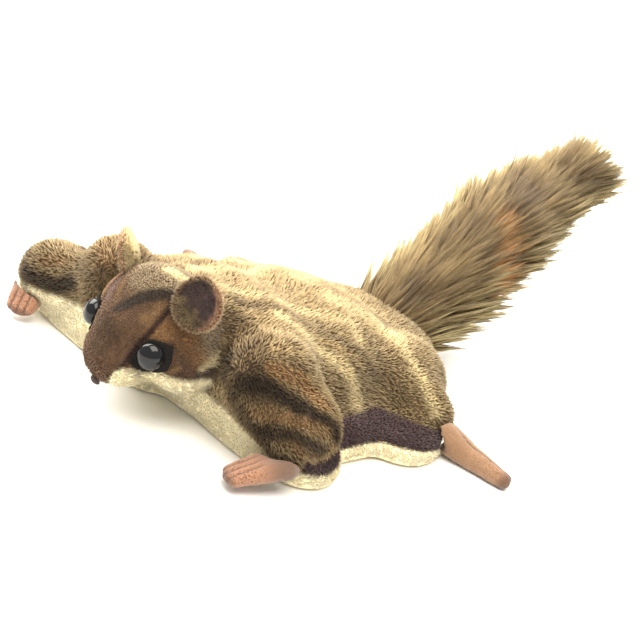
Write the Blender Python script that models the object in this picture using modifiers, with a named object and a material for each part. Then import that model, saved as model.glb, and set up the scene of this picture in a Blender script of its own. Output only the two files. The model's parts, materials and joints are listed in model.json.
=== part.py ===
# A plush toy flying squirrel that lies on its belly with its four limbs spread.
# It faces -Y, its left is +X and up is +Z. The origin is on the floor under the middle of its back.

import math
import random

import bmesh
import bpy
from mathutils import Matrix, Vector

MM = 0.001                  # the sizes below are in millimetres
GAP = 0.3                   # clearance between two pieces that touch
FAR = 400.0                 # reach of a cutter past the toy
FLAT_ANGLE = math.radians(0.4)  # faces closer to one plane than this are joined after a cut

# Stuffed forms of the body: centre, half sizes, and a power from 2 (round) to 6 (boxy)
BODY_FORMS = {
    "shoulders": ((0, -30, 26), (58, 33, 32), 2.6),
    "neck": ((0, -46, 38), (35, 20, 25), 2.2),
    "saddle": ((0, -14, 17), (56, 36, 35), 2.4),
    "back": ((0, 8, 17), (59, 60, 32), 2.4),
    "rump": ((0, 57, 12), (54, 45, 23), 2.2),
    "hip left": ((42, 54, 14), (27, 26, 24), 2.0),
    "hip right": ((-40, 51, 11), (26, 25, 20), 2.0),
    "shoulder left": ((48, -38, 32), (25, 24, 24), 2.0),
    "shoulder right": ((-54, -49, 32), (22, 19, 25.5), 2.0),
    "front pad left": ((47, -33, 6), (46, 22, 14), 2.5),
    "front pad right": ((-48, -42, 6), (48, 25, 14), 4.0),
    "middle pad": ((0, 4, 6), (81, 50, 13), 3.0),
    "rear pad": ((0, 28, 5), (96, 27, 12), 3.0),
}
# Limbs: start and end of each stuffed tube, with its radius there
LIMBS = {
    "foreleg_left": ((50, -37, 26), 23, (72, -39, 22), 21),
    "foreleg_right": ((-68, -50, 22), 17, (-91, -57, 19), 19.5),
    "hindleg_left": ((42, 44, 17), 23, (73, 47, 12), 14),
    "hindleg_right": ((-42, 42, 14), 19, (-76, 46, 12), 14),
}
LIMB_BEADS = 7
BODY_VOXEL = 2.6
BODY_SMOOTHING = 12
BODY_FACES = 2600

# Places where the body is parted: boxes given by two corners, for the left side
FORELEG_BOX = ((56, -FAR, -5), (FAR, -14, FAR))
HINDLEG_BOX = ((52, 30, -5), (FAR, FAR, FAR))
MEMBRANE_BOX = ((62, -48, -5), (FAR, 46, FAR))

# Height of the seam along the top of the cream belly
SEAM_FRONT = 25.0           # at the middle of the front wall
SEAM_FRONT_FALL = 0.11      # drop for each millimetre towards a forepaw
SEAM_LOW = 4.0              # at the limbs and under the rump
SEAM_ARCH = 7.0             # rise between a foreleg and a hind leg
SEAM_ARCH_MIDDLE = 8.0
SEAM_ARCH_HALF = 24.0
MEMBRANE_HEIGHT = 8.5       # the dark strip between the belly and the brown back

# Head, and the seam along its cream jaw
HEAD_FORMS = {
    "skull": ((0, -62, 39), (32, 28, 25), 2.2),
    "crown": ((0, -66, 50), (24, 19, 17), 2.0),
    "bridge": ((0, -81, 37), (18, 14, 16), 2.2),
    "muzzle": ((0, -83, 27), (18, 16, 14), 2.3),
    "cheek left": ((20, -62, 31), (15, 18, 16), 2.2),
    "cheek right": ((-20, -62, 31), (15, 18, 16), 2.2),
}
HEAD_VOXEL = 1.5
HEAD_SMOOTHING = 10
HEAD_FACES = 1150
JAW_NOSE = 14.0             # seam height under the nose
JAW_CHEEK = 28.5            # seam height below the eyes
JAW_NOSE_WIDTH = 15.0       # half width of the brown muzzle above the seam

# Ears, eyes and nose
# The far ear stands lower, flatter and nearly edge-on, as soft ears differ
EARS = {
    "left": {"centre": (27.8, -69.1, 63.9), "facing": (0.42, -0.88, 0.2), "cup": 4.0, "lean": -8.0},
    "right": {"centre": (-25.6, -67.0, 61.5), "facing": (-0.74, -0.56, -0.37), "cup": 2.0, "lean": 8.0},
}
EAR_RADIUS = 10.9
EAR_THICKNESS = 2.4
EYE_CENTRE = (20.6, -83.9, 37.5)
EYE_RADIUS = 6.0
EYE_DEPTH = 5.0
EYE_FACING = (0.72, -0.67, 0.12)
# Corners of a felt patch about the eye, rearward and upward, on the left side
PATCH_CORNERS = ((-8.6, -4.6), (-1.8, 7.0), (8.6, 6.0), (8.0, -5.6), (-2.4, -8.8))
PATCH_BOW = 0.07            # how far each side bulges, as a share of its length
PATCH_LIFT = 1.3
NOSE_CENTRE = (0, -94.4, 16.4)
NOSE_SIZE = (3.2, 2.0, 1.8)

# Paws: root, tip, half width and half thickness
FOREPAWS = {
    "forepaw_left": ((80, -51, 12), (72, -74, 5), 8.0, 5.5),
    "forepaw_right": ((-90, -69, 15), (-85.5, -78.5, 4.5), 8.5, 5.2),
}
FOREPAW_TOES = 4
HINDFEET = {
    "hindfoot_left": ((83, 45, 9), (98, 49.5, 5), (120, 51.5, 3.6)),
    "hindfoot_right": ((-83, 45, 9), (-98, 49.5, 5), (-120, 51.5, 3.6)),
}
HINDFOOT_HALF = (8.0, 4.2)  # half thickness at the ankle and at the toes
PAW_VOXEL = 1.0
PAW_FACES = 300

# Tail: a raised brush, a little flattened, that lies back from the rump
TAIL_ROOT = (1, 84, 17)
TAIL_MIDDLE = (-3, 166, 62)
TAIL_TIP = (-5, 244, 98)
TAIL_HALF_WIDTH = 31.0
TAIL_HALF_THICKNESS = 17.0
TAIL_ROLL = 20.0            # degrees that its right edge is turned up
TAIL_CORE = 0.46            # size of the core as a share of the whole brush
TAIL_CORE_END = 0.86        # how far along the brush the core reaches
TAIL_STATIONS = 10
TAIL_SIDES = 12
LOCK_ROWS = 12
LOCKS_AROUND = 9
TAIL_END_LOCKS = 6
LOCK_LENGTH = 42.0
LOCK_WIDTH = 15.0
LOCK_THICKNESS = 4.6
LOCK_STATIONS = (0.0, 0.34, 0.7)
LOCK_SEED = 11

COLOURS = {
    "brown plush": ((0.30, 0.20, 0.11), 0.95),
    "cream plush": ((0.86, 0.76, 0.52), 0.95),
    "plum plush": ((0.07, 0.04, 0.045), 0.95),
    "pink suede": ((0.47, 0.25, 0.17), 0.85),
    "black felt": ((0.008, 0.008, 0.01), 0.9),
    "glossy eye": ((0.004, 0.004, 0.005), 0.05),
    "tail pile": ((0.22, 0.14, 0.07), 0.9),
}


def clear_scene():
    for thing in list(bpy.data.objects):
        bpy.data.objects.remove(thing, do_unlink=True)


def make_collection(name):
    collection = bpy.data.collections.new(name)
    bpy.context.scene.collection.children.link(collection)
    return collection


def plush_material(name):
    colour, roughness = COLOURS[name]
    material = bpy.data.materials.get(name)
    if material is None:
        material = bpy.data.materials.new(name)
        material.use_nodes = True
        shader = material.node_tree.nodes["Principled BSDF"]
        shader.inputs["Base Color"].default_value = (*colour, 1.0)
        shader.inputs["Roughness"].default_value = roughness
        shader.inputs["Metallic"].default_value = 0.0
    return material


def mm(*values):
    return Vector(values) * MM


def dress(piece, colour):
    # One material over the whole piece, whatever slots its cuts have left
    piece.data.materials.clear()
    piece.data.materials.append(plush_material(colour))
    for face in piece.data.polygons:
        face.material_index = 0


def smooth_step(value, low, high):
    t = min(max((value - low) / (high - low), 0.0), 1.0)
    return t * t * (3 - 2 * t)


def new_object(name, mesh_builder, collection):
    mesh = bpy.data.meshes.new(name)
    mesh_builder.to_mesh(mesh)
    mesh_builder.free()
    thing = bpy.data.objects.new(name, mesh)
    collection.objects.link(thing)
    return thing


def discard(thing):
    bpy.data.objects.remove(thing, do_unlink=True)


def copy_of(thing, name, collection):
    twin = bpy.data.objects.new(name, thing.data.copy())
    collection.objects.link(twin)
    return twin


def apply_modifiers(thing):
    view = bpy.context.evaluated_depsgraph_get()
    mesh = bpy.data.meshes.new_from_object(thing.evaluated_get(view))
    thing.modifiers.clear()
    thing.data = mesh


def keep_largest(thing):
    # A cut can leave small scraps beside the piece, and only its largest closed surface is kept
    mesh = bmesh.new()
    mesh.from_mesh(thing.data)
    waiting = set(mesh.faces)
    islands = []
    while waiting:
        start = waiting.pop()
        island = [start]
        edge_of_search = [start]
        while edge_of_search:
            face = edge_of_search.pop()
            for edge in face.edges:
                for other in edge.link_faces:
                    if other in waiting:
                        waiting.remove(other)
                        island.append(other)
                        edge_of_search.append(other)
        islands.append(island)
    islands.sort(key=len)
    for island in islands[:-1]:
        bmesh.ops.delete(mesh, geom=island, context="FACES")
    bmesh.ops.dissolve_limit(mesh, angle_limit=FLAT_ANGLE, verts=mesh.verts[:], edges=mesh.edges[:])
    bmesh.ops.triangulate(mesh, faces=mesh.faces[:])
    mesh.to_mesh(thing.data)
    mesh.free()


def carve(thing, tool, operation, solver="EXACT"):
    cut = thing.modifiers.new("cut", "BOOLEAN")
    cut.operation = operation
    cut.object = tool
    cut.solver = solver
    apply_modifiers(thing)
    keep_largest(thing)


def pillow(name, centre, half_sizes, power, collection, segments=32):
    # A sphere pushed out towards its box: power 2 stays round, 6 is nearly a box
    form = bmesh.new()
    bmesh.ops.create_uvsphere(form, u_segments=segments, v_segments=segments // 2, radius=1.0)
    for vert in form.verts:
        length = sum(abs(part) ** power for part in vert.co) ** (1 / power)
        unit = vert.co / length
        vert.co = mm(*(c + u * h for c, u, h in zip(centre, unit, half_sizes)))
    return new_object(name, form, collection)


def tube_of_beads(name, start, start_radius, end, end_radius, collection, beads=LIMB_BEADS):
    # A stuffed tube: overlapping balls that shrink along a straight line
    forms = []
    for index in range(beads):
        t = index / (beads - 1)
        centre = [a + (b - a) * t for a, b in zip(start, end)]
        radius = start_radius + (end_radius - start_radius) * t
        forms.append(pillow(name, centre, (radius, radius, radius), 2.0, collection))
    return forms


def fuse(name, forms, voxel, smoothing, faces, collection):
    # Overlapping forms become one soft skin
    joined = bmesh.new()
    for form in forms:
        joined.from_mesh(form.data)
        discard(form)
    thing = new_object(name, joined, collection)
    remesh = thing.modifiers.new("remesh", "REMESH")
    remesh.mode = "VOXEL"
    remesh.voxel_size = voxel * MM
    soften = thing.modifiers.new("soften", "SMOOTH")
    soften.factor = 0.5
    soften.iterations = smoothing
    apply_modifiers(thing)
    fewer = thing.modifiers.new("fewer", "DECIMATE")
    fewer.ratio = min(1.0, faces / (2 * len(thing.data.polygons)))
    fewer.use_collapse_triangulate = True
    apply_modifiers(thing)
    return thing


def grown(thing, amount, collection):
    # A copy that stands proud of the piece all round, to cut room for it in its neighbours
    tool = copy_of(thing, "room for " + thing.name, collection)
    swell = tool.modifiers.new("swell", "DISPLACE")
    swell.mid_level = 0.0
    swell.strength = amount * MM
    apply_modifiers(tool)
    return tool


def box_tool(name, low, high, collection, grow=0.0):
    box = bmesh.new()
    bmesh.ops.create_cube(box, size=1.0)
    middle = [(a + b) / 2 for a, b in zip(low, high)]
    size = [b - a + 2 * grow for a, b in zip(low, high)]
    for vert in box.verts:
        vert.co = mm(*(m + c * s for m, c, s in zip(middle, vert.co, size)))
    return new_object(name, box, collection)


def seam_tool(name, half_width, front, rear, height, lift, collection, steps=16):
    # A block whose top follows the height of a seam
    block = bmesh.new()
    bmesh.ops.create_grid(block, x_segments=steps, y_segments=steps, size=1.0)
    for vert in block.verts:
        x = vert.co.x * half_width
        y = front + (rear - front) * (vert.co.y + 1) / 2
        vert.co = mm(x, y, height(x, y) + lift)
    base = bmesh.ops.extrude_face_region(block, geom=block.faces[:])
    for part in base["geom"]:
        if isinstance(part, bmesh.types.BMVert):
            part.co.z = -20 * MM
    bmesh.ops.recalc_face_normals(block, faces=block.faces[:])
    return new_object(name, block, collection)


def belly_seam(x, y):
    front = SEAM_FRONT - SEAM_FRONT_FALL * abs(x)
    flank = SEAM_LOW + SEAM_ARCH * math.exp(-((y - SEAM_ARCH_MIDDLE) / SEAM_ARCH_HALF) ** 2)
    return front + (flank - front) * smooth_step(y, -57, -44)


def jaw_seam(x, y):
    rise = smooth_step(abs(x), JAW_NOSE_WIDTH * 0.3, JAW_NOSE_WIDTH)
    return JAW_NOSE + (JAW_CHEEK - JAW_NOSE) * max(rise, smooth_step(y, -88, -70))


def mirrored(values, side):
    return (values[0] * side, values[1], values[2])


def facing_matrix(centre, facing, spin):
    # Local +Z looks along facing, local +Y is as upright as it can be, then spun about facing
    forward = Vector(facing).normalized()
    across = Vector((0, 0, 1)).cross(forward).normalized()
    upward = forward.cross(across)
    turn = Matrix((across, upward, forward)).transposed().to_4x4()
    return Matrix.Translation(mm(*centre)) @ turn @ Matrix.Rotation(spin, 4, "Z")


def make_body(floor, tools):
    forms = [pillow(name, *shape, tools) for name, shape in BODY_FORMS.items()]
    for name, limb in LIMBS.items():
        forms += tube_of_beads(name, *limb, tools)
    body = fuse("body", forms, BODY_VOXEL, BODY_SMOOTHING, BODY_FACES, tools)
    carve(body, floor, "INTERSECT")
    return body


def make_head(tools):
    forms = [pillow(name, *shape, tools) for name, shape in HEAD_FORMS.items()]
    return fuse("head skin", forms, HEAD_VOXEL, HEAD_SMOOTHING, HEAD_FACES, tools)


def region_tools(name, box, side, tools):
    # The box that bounds a piece on one side, and a larger one that makes room for it
    low, high = box
    ends = sorted((low[0] * side, high[0] * side))
    low_corner = (ends[0], low[1], low[2])
    high_corner = (ends[1], high[1], high[2])
    exact = box_tool(name + " box", low_corner, high_corner, tools)
    room = box_tool(name + " room", low_corner, high_corner, tools, GAP)
    return exact, room


def part_body(body, head_room, parts, tools):
    def strip_top(x, y):
        return belly_seam(x, y) + MEMBRANE_HEIGHT

    seam = seam_tool("belly seam", 140, -120, 160, belly_seam, 0.0, tools)
    seam_room = seam_tool("belly seam room", 140, -120, 160, belly_seam, GAP, tools)
    strip = seam_tool("strip top", 140, -120, 160, strip_top, 0.0, tools)
    strip_room = seam_tool("strip top room", 140, -120, 160, strip_top, GAP, tools)
    belly = copy_of(body, "belly", parts)
    carve(belly, seam, "INTERSECT")
    carve(belly, head_room, "DIFFERENCE")
    dress(belly, "cream plush")
    torso = copy_of(body, "torso", parts)
    carve(torso, seam_room, "DIFFERENCE")
    carve(torso, head_room, "DIFFERENCE")
    limb_boxes = {"foreleg": FORELEG_BOX, "hindleg": HINDLEG_BOX}
    for side, word in ((1, "left"), (-1, "right")):
        box, room = region_tools("membrane_" + word, MEMBRANE_BOX, side, tools)
        membrane = copy_of(torso, "membrane_" + word, parts)
        carve(membrane, box, "INTERSECT")
        carve(membrane, strip, "INTERSECT")
        dress(membrane, "plum plush")
        carve(room, strip_room, "INTERSECT")
        carve(torso, room, "DIFFERENCE")
        for limb, limb_box in limb_boxes.items():
            name = limb + "_" + word
            box, room = region_tools(name, limb_box, side, tools)
            piece = copy_of(torso, name, parts)
            carve(piece, box, "INTERSECT")
            dress(piece, "brown plush")
            carve(torso, room, "DIFFERENCE")
    dress(torso, "brown plush")


def part_head(head_skin, parts, tools):
    seam = seam_tool("jaw seam", 60, -120, 0, jaw_seam, 0.0, tools)
    seam_room = seam_tool("jaw seam room", 60, -120, 0, jaw_seam, GAP, tools)
    jaw = copy_of(head_skin, "jaw", parts)
    carve(jaw, seam, "INTERSECT")
    dress(jaw, "cream plush")
    head = copy_of(head_skin, "head", parts)
    carve(head, seam_room, "DIFFERENCE")
    dress(head, "brown plush")


def make_ears(rooms, parts):
    for word, shape in EARS.items():
        disc = bmesh.new()
        bmesh.ops.create_circle(disc, cap_ends=True, radius=1.0, segments=16)
        bmesh.ops.poke(disc, faces=disc.faces[:])
        bmesh.ops.subdivide_edges(disc, edges=disc.edges[:], cuts=1, use_grid_fill=True)
        for vert in disc.verts:
            reach = min(vert.co.length, 1.0)
            wide = EAR_RADIUS * (1 - 0.08 * vert.co.y)
            vert.co = mm(vert.co.x * wide, vert.co.y * EAR_RADIUS * 1.08, shape["cup"] * reach ** 2)
        place = facing_matrix(shape["centre"], shape["facing"], math.radians(shape["lean"]))
        bmesh.ops.transform(disc, matrix=place, verts=disc.verts)
        ear = new_object("ear_" + word, disc, parts)
        wall = ear.modifiers.new("wall", "SOLIDIFY")
        wall.thickness = EAR_THICKNESS * MM
        wall.offset = -1.0
        apply_modifiers(ear)
        for room in rooms:
            carve(ear, room, "DIFFERENCE")
        dress(ear, "brown plush")


def felt_plate(side, depth):
    # The patch's outline as a plate of the given depth about its plane
    plate = bmesh.new()
    steps = 4
    rim = []
    corners = [Vector((x * side, y)) for x, y in PATCH_CORNERS]
    for start, end in zip(corners, corners[1:] + corners[:1]):
        run = end - start
        outward = Vector((-run.y, run.x)) * side
        for index in range(steps):
            t = index / steps
            spot = start + run * t + outward * math.sin(math.pi * t) * PATCH_BOW
            rim.append(plate.verts.new(mm(spot.x, spot.y, -depth)))
    face = plate.faces.new(rim)
    lifted = bmesh.ops.extrude_face_region(plate, geom=[face])
    for part in lifted["geom"]:
        if isinstance(part, bmesh.types.BMVert):
            part.co.z = depth * MM
    bmesh.ops.triangulate(plate, faces=plate.faces[:])
    bmesh.ops.recalc_face_normals(plate, faces=plate.faces[:])
    return plate


def make_eyes(head_skin, head_room, parts, tools):
    patch_skin = grown(head_skin, PATCH_LIFT, tools)
    eye_room = grown(head_skin, PATCH_LIFT + GAP + 0.1, tools)
    for side, word in ((1, "left"), (-1, "right")):
        centre = mirrored(EYE_CENTRE, side)
        facing = mirrored(EYE_FACING, side)
        place = facing_matrix(centre, facing, 0.0)
        plate = felt_plate(side, 9.0)
        bmesh.ops.transform(plate, matrix=place, verts=plate.verts)
        patch = new_object("eye_patch_" + word, plate, parts)
        carve(patch, patch_skin, "INTERSECT", "MANIFOLD")
        carve(patch, head_room, "DIFFERENCE", "MANIFOLD")
        dress(patch, "black felt")
        dome = bmesh.new()
        bmesh.ops.create_uvsphere(dome, u_segments=20, v_segments=12, radius=1.0)
        stretch = Matrix.Diagonal((EYE_RADIUS * MM, EYE_RADIUS * MM, EYE_DEPTH * MM, 1.0))
        bmesh.ops.transform(dome, matrix=place @ stretch, verts=dome.verts)
        eye = new_object("eye_" + word, dome, parts)
        carve(eye, eye_room, "DIFFERENCE", "MANIFOLD")
        dress(eye, "glossy eye")


def make_nose(head_room, parts):
    nose = pillow("nose", NOSE_CENTRE, NOSE_SIZE, 2.0, parts, 16)
    carve(nose, head_room, "DIFFERENCE")
    dress(nose, "plum plush")


def make_forepaws(body_room, floor, parts, tools):
    for name, (root, tip, half_width, half_thickness) in FOREPAWS.items():
        along = Vector(tip) - Vector(root)
        across = along.cross(Vector((0, 0, 1)))
        if across.length < 8:
            across = Vector((1, 0, 0))
        across.normalize()
        forms = []
        toe = half_width / FOREPAW_TOES * 1.35
        for index in range(FOREPAW_TOES):
            spread = (index + 0.5) / FOREPAW_TOES * 2 - 1
            side = across * spread * (half_width - toe * 0.8)
            end = Vector(tip) + side - along.normalized() * abs(spread) * 2.5
            start = Vector(root) + side
            forms += tube_of_beads(name, start, half_thickness, end, toe, tools, 9)
        paw = fuse(name, forms, PAW_VOXEL, 3, PAW_FACES, parts)
        carve(paw, floor, "INTERSECT")
        carve(paw, body_room, "DIFFERENCE")
        dress(paw, "pink suede")


def make_hindfeet(body_room, floor, parts, tools):
    thick, thin = HINDFOOT_HALF
    for name, (ankle, arch, toes) in HINDFEET.items():
        middle = (thick + thin) / 2
        forms = tube_of_beads(name, ankle, thick, arch, middle, tools)
        forms += tube_of_beads(name, arch, middle, toes, thin, tools)
        foot = fuse(name, forms, PAW_VOXEL, 4, PAW_FACES, parts)
        carve(foot, floor, "INTERSECT")
        carve(foot, body_room, "DIFFERENCE")
        dress(foot, "pink suede")


def tail_point(t):
    # A parabola from the rump through the middle of the brush to its tip
    root, middle, tip = Vector(TAIL_ROOT), Vector(TAIL_MIDDLE), Vector(TAIL_TIP)
    bend = 2 * middle - (root + tip) / 2
    return root * (1 - t) ** 2 + bend * 2 * t * (1 - t) + tip * t * t


def tail_frame(t):
    # The directions across the brush and up through it
    ahead = tail_point(min(t + 0.01, 1.0)) - tail_point(max(t - 0.01, 0.0))
    along = ahead.normalized()
    across = Vector((1, 0, 0))
    across = (across - along * across.dot(along)).normalized()
    roll = Matrix.Rotation(math.radians(TAIL_ROLL), 3, along)
    across = roll @ across
    return across, across.cross(along)


def tail_swell(t):
    # Half size of the brush along its length, as a share of its widest
    return 0.84 + 0.16 * smooth_step(t, 0.0, 0.3) - 0.42 * smooth_step(t, 0.55, 1.05)


def tail_surface(t, angle, share):
    # A point inside the brush: share 0 is on its centre line and 1 at the tips of the pile
    across, upward = tail_frame(min(max(t, 0.0), 1.0))
    size = tail_swell(t) * share
    offset = across * math.cos(angle) * TAIL_HALF_WIDTH * size
    offset += upward * math.sin(angle) * TAIL_HALF_THICKNESS * size
    return tail_point(t) + offset


def lie_normal(t, angle):
    # The flat of a lock faces up or down more than sideways, so that the edges of the brush stay full
    across, upward = tail_frame(min(max(t, 0.0), 1.0))
    height = math.sin(angle)
    return across * math.cos(angle) * 0.35 + upward * (height + math.copysign(0.35, height))


def make_tail_core(parts):
    core = bmesh.new()
    rings = []
    for station in range(TAIL_STATIONS):
        t = -0.06 + (TAIL_CORE_END + 0.06) * station / (TAIL_STATIONS - 1)
        share = TAIL_CORE * (1 - 0.45 * max(t / TAIL_CORE_END, 0.0) ** 4)
        angles = [2 * math.pi * index / TAIL_SIDES for index in range(TAIL_SIDES)]
        rings.append([core.verts.new(tail_surface(t, angle, share) * MM) for angle in angles])
    for near, far in zip(rings, rings[1:]):
        for index in range(TAIL_SIDES):
            after = (index + 1) % TAIL_SIDES
            core.faces.new((near[index], near[after], far[after], far[index]))
    core.faces.new(rings[0])
    core.faces.new(rings[-1])
    bmesh.ops.triangulate(core, faces=core.faces[:])
    bmesh.ops.recalc_face_normals(core, faces=core.faces[:])
    return new_object("tail", core, parts)


def make_lock(t_root, angle, reach, chance, locks):
    # A flat tuft of pile: it leaves the core at a slant, bends over and tapers along the brush
    length = (Vector(TAIL_TIP) - Vector(TAIL_ROOT)).length
    run = LOCK_LENGTH / length * chance.uniform(0.85, 1.12)
    t_tip = min(t_root + run, 1.0 + chance.uniform(-0.03, 0.02))
    sway = chance.uniform(-0.22, 0.22)
    width = LOCK_WIDTH * chance.uniform(0.85, 1.15)
    root_share = TAIL_CORE * 0.55
    slant = 2.6 - 0.9 * smooth_step(t_root, 0.0, 0.3)

    def place(s):
        share = root_share + (reach - root_share) * (1 - (1 - s) ** slant)
        return tail_surface(t_root + (t_tip - t_root) * s, angle + sway * s * s, share)

    lock = bmesh.new()
    rings = []
    for s in LOCK_STATIONS:
        centre = place(s)
        along = (place(s + 0.05) - centre).normalized()
        across = along.cross(lie_normal(t_root, angle)).normalized()
        outward = across.cross(along).normalized()
        half_width = across * width / 2 * (1 - 0.75 * s) ** 0.8
        half_thick = outward * LOCK_THICKNESS / 2 * (1 - 0.6 * s)
        corners = (centre - half_width, centre + half_thick, centre + half_width, centre - half_thick)
        rings.append([lock.verts.new(corner * MM) for corner in corners])
    tip = lock.verts.new(place(1.0) * MM)
    for near, far in zip(rings, rings[1:]):
        for index in range(4):
            after = (index + 1) % 4
            lock.faces.new((near[index], near[after], far[after], far[index]))
    for index in range(4):
        lock.faces.new((rings[-1][index], rings[-1][(index + 1) % 4], tip))
    lock.faces.new(rings[0])
    bmesh.ops.triangulate(lock, faces=lock.faces[:])
    bmesh.ops.recalc_face_normals(lock, faces=lock.faces[:])
    return new_object("lock", lock, locks)


def make_tail(body_room, parts):
    # The brush is one body: a slim core with overlapping locks rooted in it out to their tips
    chance = random.Random(LOCK_SEED)
    locks = make_collection("tail locks")
    for row in range(LOCK_ROWS):
        t_root = -0.1 + 0.92 * row / (LOCK_ROWS - 1)
        for index in range(LOCKS_AROUND):
            turn = (index + 0.5 * (row % 2) + chance.uniform(-0.2, 0.2)) / LOCKS_AROUND
            reach = chance.uniform(0.9, 1.05)
            make_lock(t_root + chance.uniform(-0.02, 0.02), 2 * math.pi * turn, reach, chance, locks)
    for index in range(TAIL_END_LOCKS):
        turn = index / TAIL_END_LOCKS
        make_lock(TAIL_CORE_END - 0.05, 2 * math.pi * turn, chance.uniform(0.35, 0.6), chance, locks)
    tail = make_tail_core(parts)
    union = tail.modifiers.new("union", "BOOLEAN")
    union.operation = "UNION"
    union.operand_type = "COLLECTION"
    union.collection = locks
    union.solver = "EXACT"
    apply_modifiers(tail)
    keep_largest(tail)
    for lock in list(locks.objects):
        discard(lock)
    bpy.data.collections.remove(locks)
    carve(tail, body_room, "DIFFERENCE")
    dress(tail, "tail pile")


def shade_parts(parts):
    for piece in parts.objects:
        piece.data.shade_smooth()
        piece.data.set_sharp_from_angle(angle=math.radians(40))


def main():
    clear_scene()
    parts = make_collection("plush flying squirrel")
    tools = make_collection("cutters")
    floor = box_tool("above the floor", (-FAR, -FAR, 0), (FAR, FAR, FAR), tools)
    body = make_body(floor, tools)
    head_skin = make_head(tools)
    body_room = grown(body, GAP + 0.1, tools)
    head_room = grown(head_skin, GAP + 0.1, tools)
    part_body(body, head_room, parts, tools)
    part_head(head_skin, parts, tools)
    make_ears((head_room, body_room), parts)
    make_eyes(head_skin, head_room, parts, tools)
    make_nose(head_room, parts)
    make_forepaws(body_room, floor, parts, tools)
    make_hindfeet(body_room, floor, parts, tools)
    make_tail(body_room, parts)
    for tool in tools.objects:
        tool.hide_render = True
        tool.display_type = "WIRE"
    shade_parts(parts)


main()
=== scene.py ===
import json
import math

import bmesh
import bpy
import numpy as np
from mathutils import Matrix, Vector
from mathutils.bvhtree import BVHTree

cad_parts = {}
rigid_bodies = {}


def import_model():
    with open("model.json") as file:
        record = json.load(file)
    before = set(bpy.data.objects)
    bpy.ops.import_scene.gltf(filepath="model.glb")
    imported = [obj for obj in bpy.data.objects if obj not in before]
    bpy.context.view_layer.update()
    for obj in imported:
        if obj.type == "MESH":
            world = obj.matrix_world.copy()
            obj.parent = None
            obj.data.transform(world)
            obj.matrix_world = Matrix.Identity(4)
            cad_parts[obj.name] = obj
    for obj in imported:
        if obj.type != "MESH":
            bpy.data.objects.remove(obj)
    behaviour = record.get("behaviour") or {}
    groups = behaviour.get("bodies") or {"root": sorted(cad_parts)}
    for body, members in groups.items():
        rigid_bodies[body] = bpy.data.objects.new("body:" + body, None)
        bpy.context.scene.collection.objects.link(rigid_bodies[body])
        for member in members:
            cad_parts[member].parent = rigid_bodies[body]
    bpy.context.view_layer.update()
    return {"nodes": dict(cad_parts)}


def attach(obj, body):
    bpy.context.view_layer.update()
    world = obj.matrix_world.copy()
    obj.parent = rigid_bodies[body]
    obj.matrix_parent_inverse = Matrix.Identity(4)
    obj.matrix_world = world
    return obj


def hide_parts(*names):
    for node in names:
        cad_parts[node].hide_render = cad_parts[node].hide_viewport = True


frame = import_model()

mm = 0.001

# Small helpers


def smoothStep(value, low, high):
    t = np.clip((np.asarray(value, float) - low) / (high - low), 0.0, 1.0)
    return t * t * (3 - 2 * t)


def mix(a, b, share):
    return a + (b - a) * share


def newPiece(name, mesh):
    piece = bpy.data.objects.new(name, mesh)
    bpy.context.scene.collection.objects.link(piece)
    return piece


def meshOf(builder, name):
    mesh = bpy.data.meshes.new(name)
    builder.to_mesh(mesh)
    builder.free()
    return mesh


def pointsOf(piece):
    flat = np.empty(len(piece.data.vertices) * 3)
    piece.data.vertices.foreach_get("co", flat)
    return flat.reshape(-1, 3)


def normalsOf(piece):
    flat = np.empty(len(piece.data.vertices) * 3, np.float32)
    piece.data.vertex_normals.foreach_get("vector", flat)
    return flat.reshape(-1, 3).astype(float)


def setPoints(piece, points):
    piece.data.vertices.foreach_set("co", np.asarray(points, np.float32).ravel())
    piece.data.update()


def store(piece, name, values, kind):
    # kind is FLOAT, FLOAT_VECTOR or FLOAT_COLOR, one value a vertex
    attribute = piece.data.attributes.new(name, kind, "POINT")
    values = np.asarray(values, np.float32)
    if kind == "FLOAT_COLOR":
        values = np.concatenate([values, np.ones((len(values), 1), np.float32)], axis=1)
    field = {"FLOAT": "value", "FLOAT_VECTOR": "vector", "FLOAT_COLOR": "color"}[kind]
    attribute.data.foreach_set(field, values.ravel())


def applyModifiers(piece):
    view = bpy.context.evaluated_depsgraph_get()
    mesh = bpy.data.meshes.new_from_object(piece.evaluated_get(view))
    piece.modifiers.clear()
    piece.data = mesh


def smoothShaded(piece):
    piece.data.shade_smooth()
    return piece


def discard(piece):
    bpy.data.objects.remove(piece, do_unlink=True)


def joinedCopy(name, nodes, grow=0.0):
    # CAD meshes are loose triangles, so each copy has its doubles merged first
    whole = bmesh.new()
    for node in nodes:
        part = bmesh.new()
        part.from_mesh(frame["nodes"][node].data)
        bmesh.ops.remove_doubles(part, verts=part.verts, dist=1e-6)
        bmesh.ops.recalc_face_normals(part, faces=part.faces)
        part.normal_update()
        if grow:
            for vert in part.verts:
                vert.co += vert.normal * grow
        scratch = meshOf(part, "scratch")
        whole.from_mesh(scratch)
        bpy.data.meshes.remove(scratch)
    return newPiece(name, meshOf(whole, name))


def keepLargest(piece):
    whole = bmesh.new()
    whole.from_mesh(piece.data)
    waiting = set(whole.faces)
    islands = []
    while waiting:
        island = [waiting.pop()]
        for face in island:
            for edge in face.edges:
                for other in edge.link_faces:
                    if other in waiting:
                        waiting.remove(other)
                        island.append(other)
        islands.append(island)
    islands.sort(key=len)
    for island in islands[:-1]:
        bmesh.ops.delete(whole, geom=island, context="FACES")
    whole.to_mesh(piece.data)
    whole.free()


def surfaceOf(nodes):
    corners, faces = [], []
    for node in nodes:
        data = frame["nodes"][node].data
        start = len(corners)
        corners += [v.co.copy() for v in data.vertices]
        faces += [[start + i for i in polygon.vertices] for polygon in data.polygons]
    return BVHTree.FromPolygons(corners, faces)


def distanceTo(surface, points):
    return np.array([surface.find_nearest(Vector(p))[3] for p in points])


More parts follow.
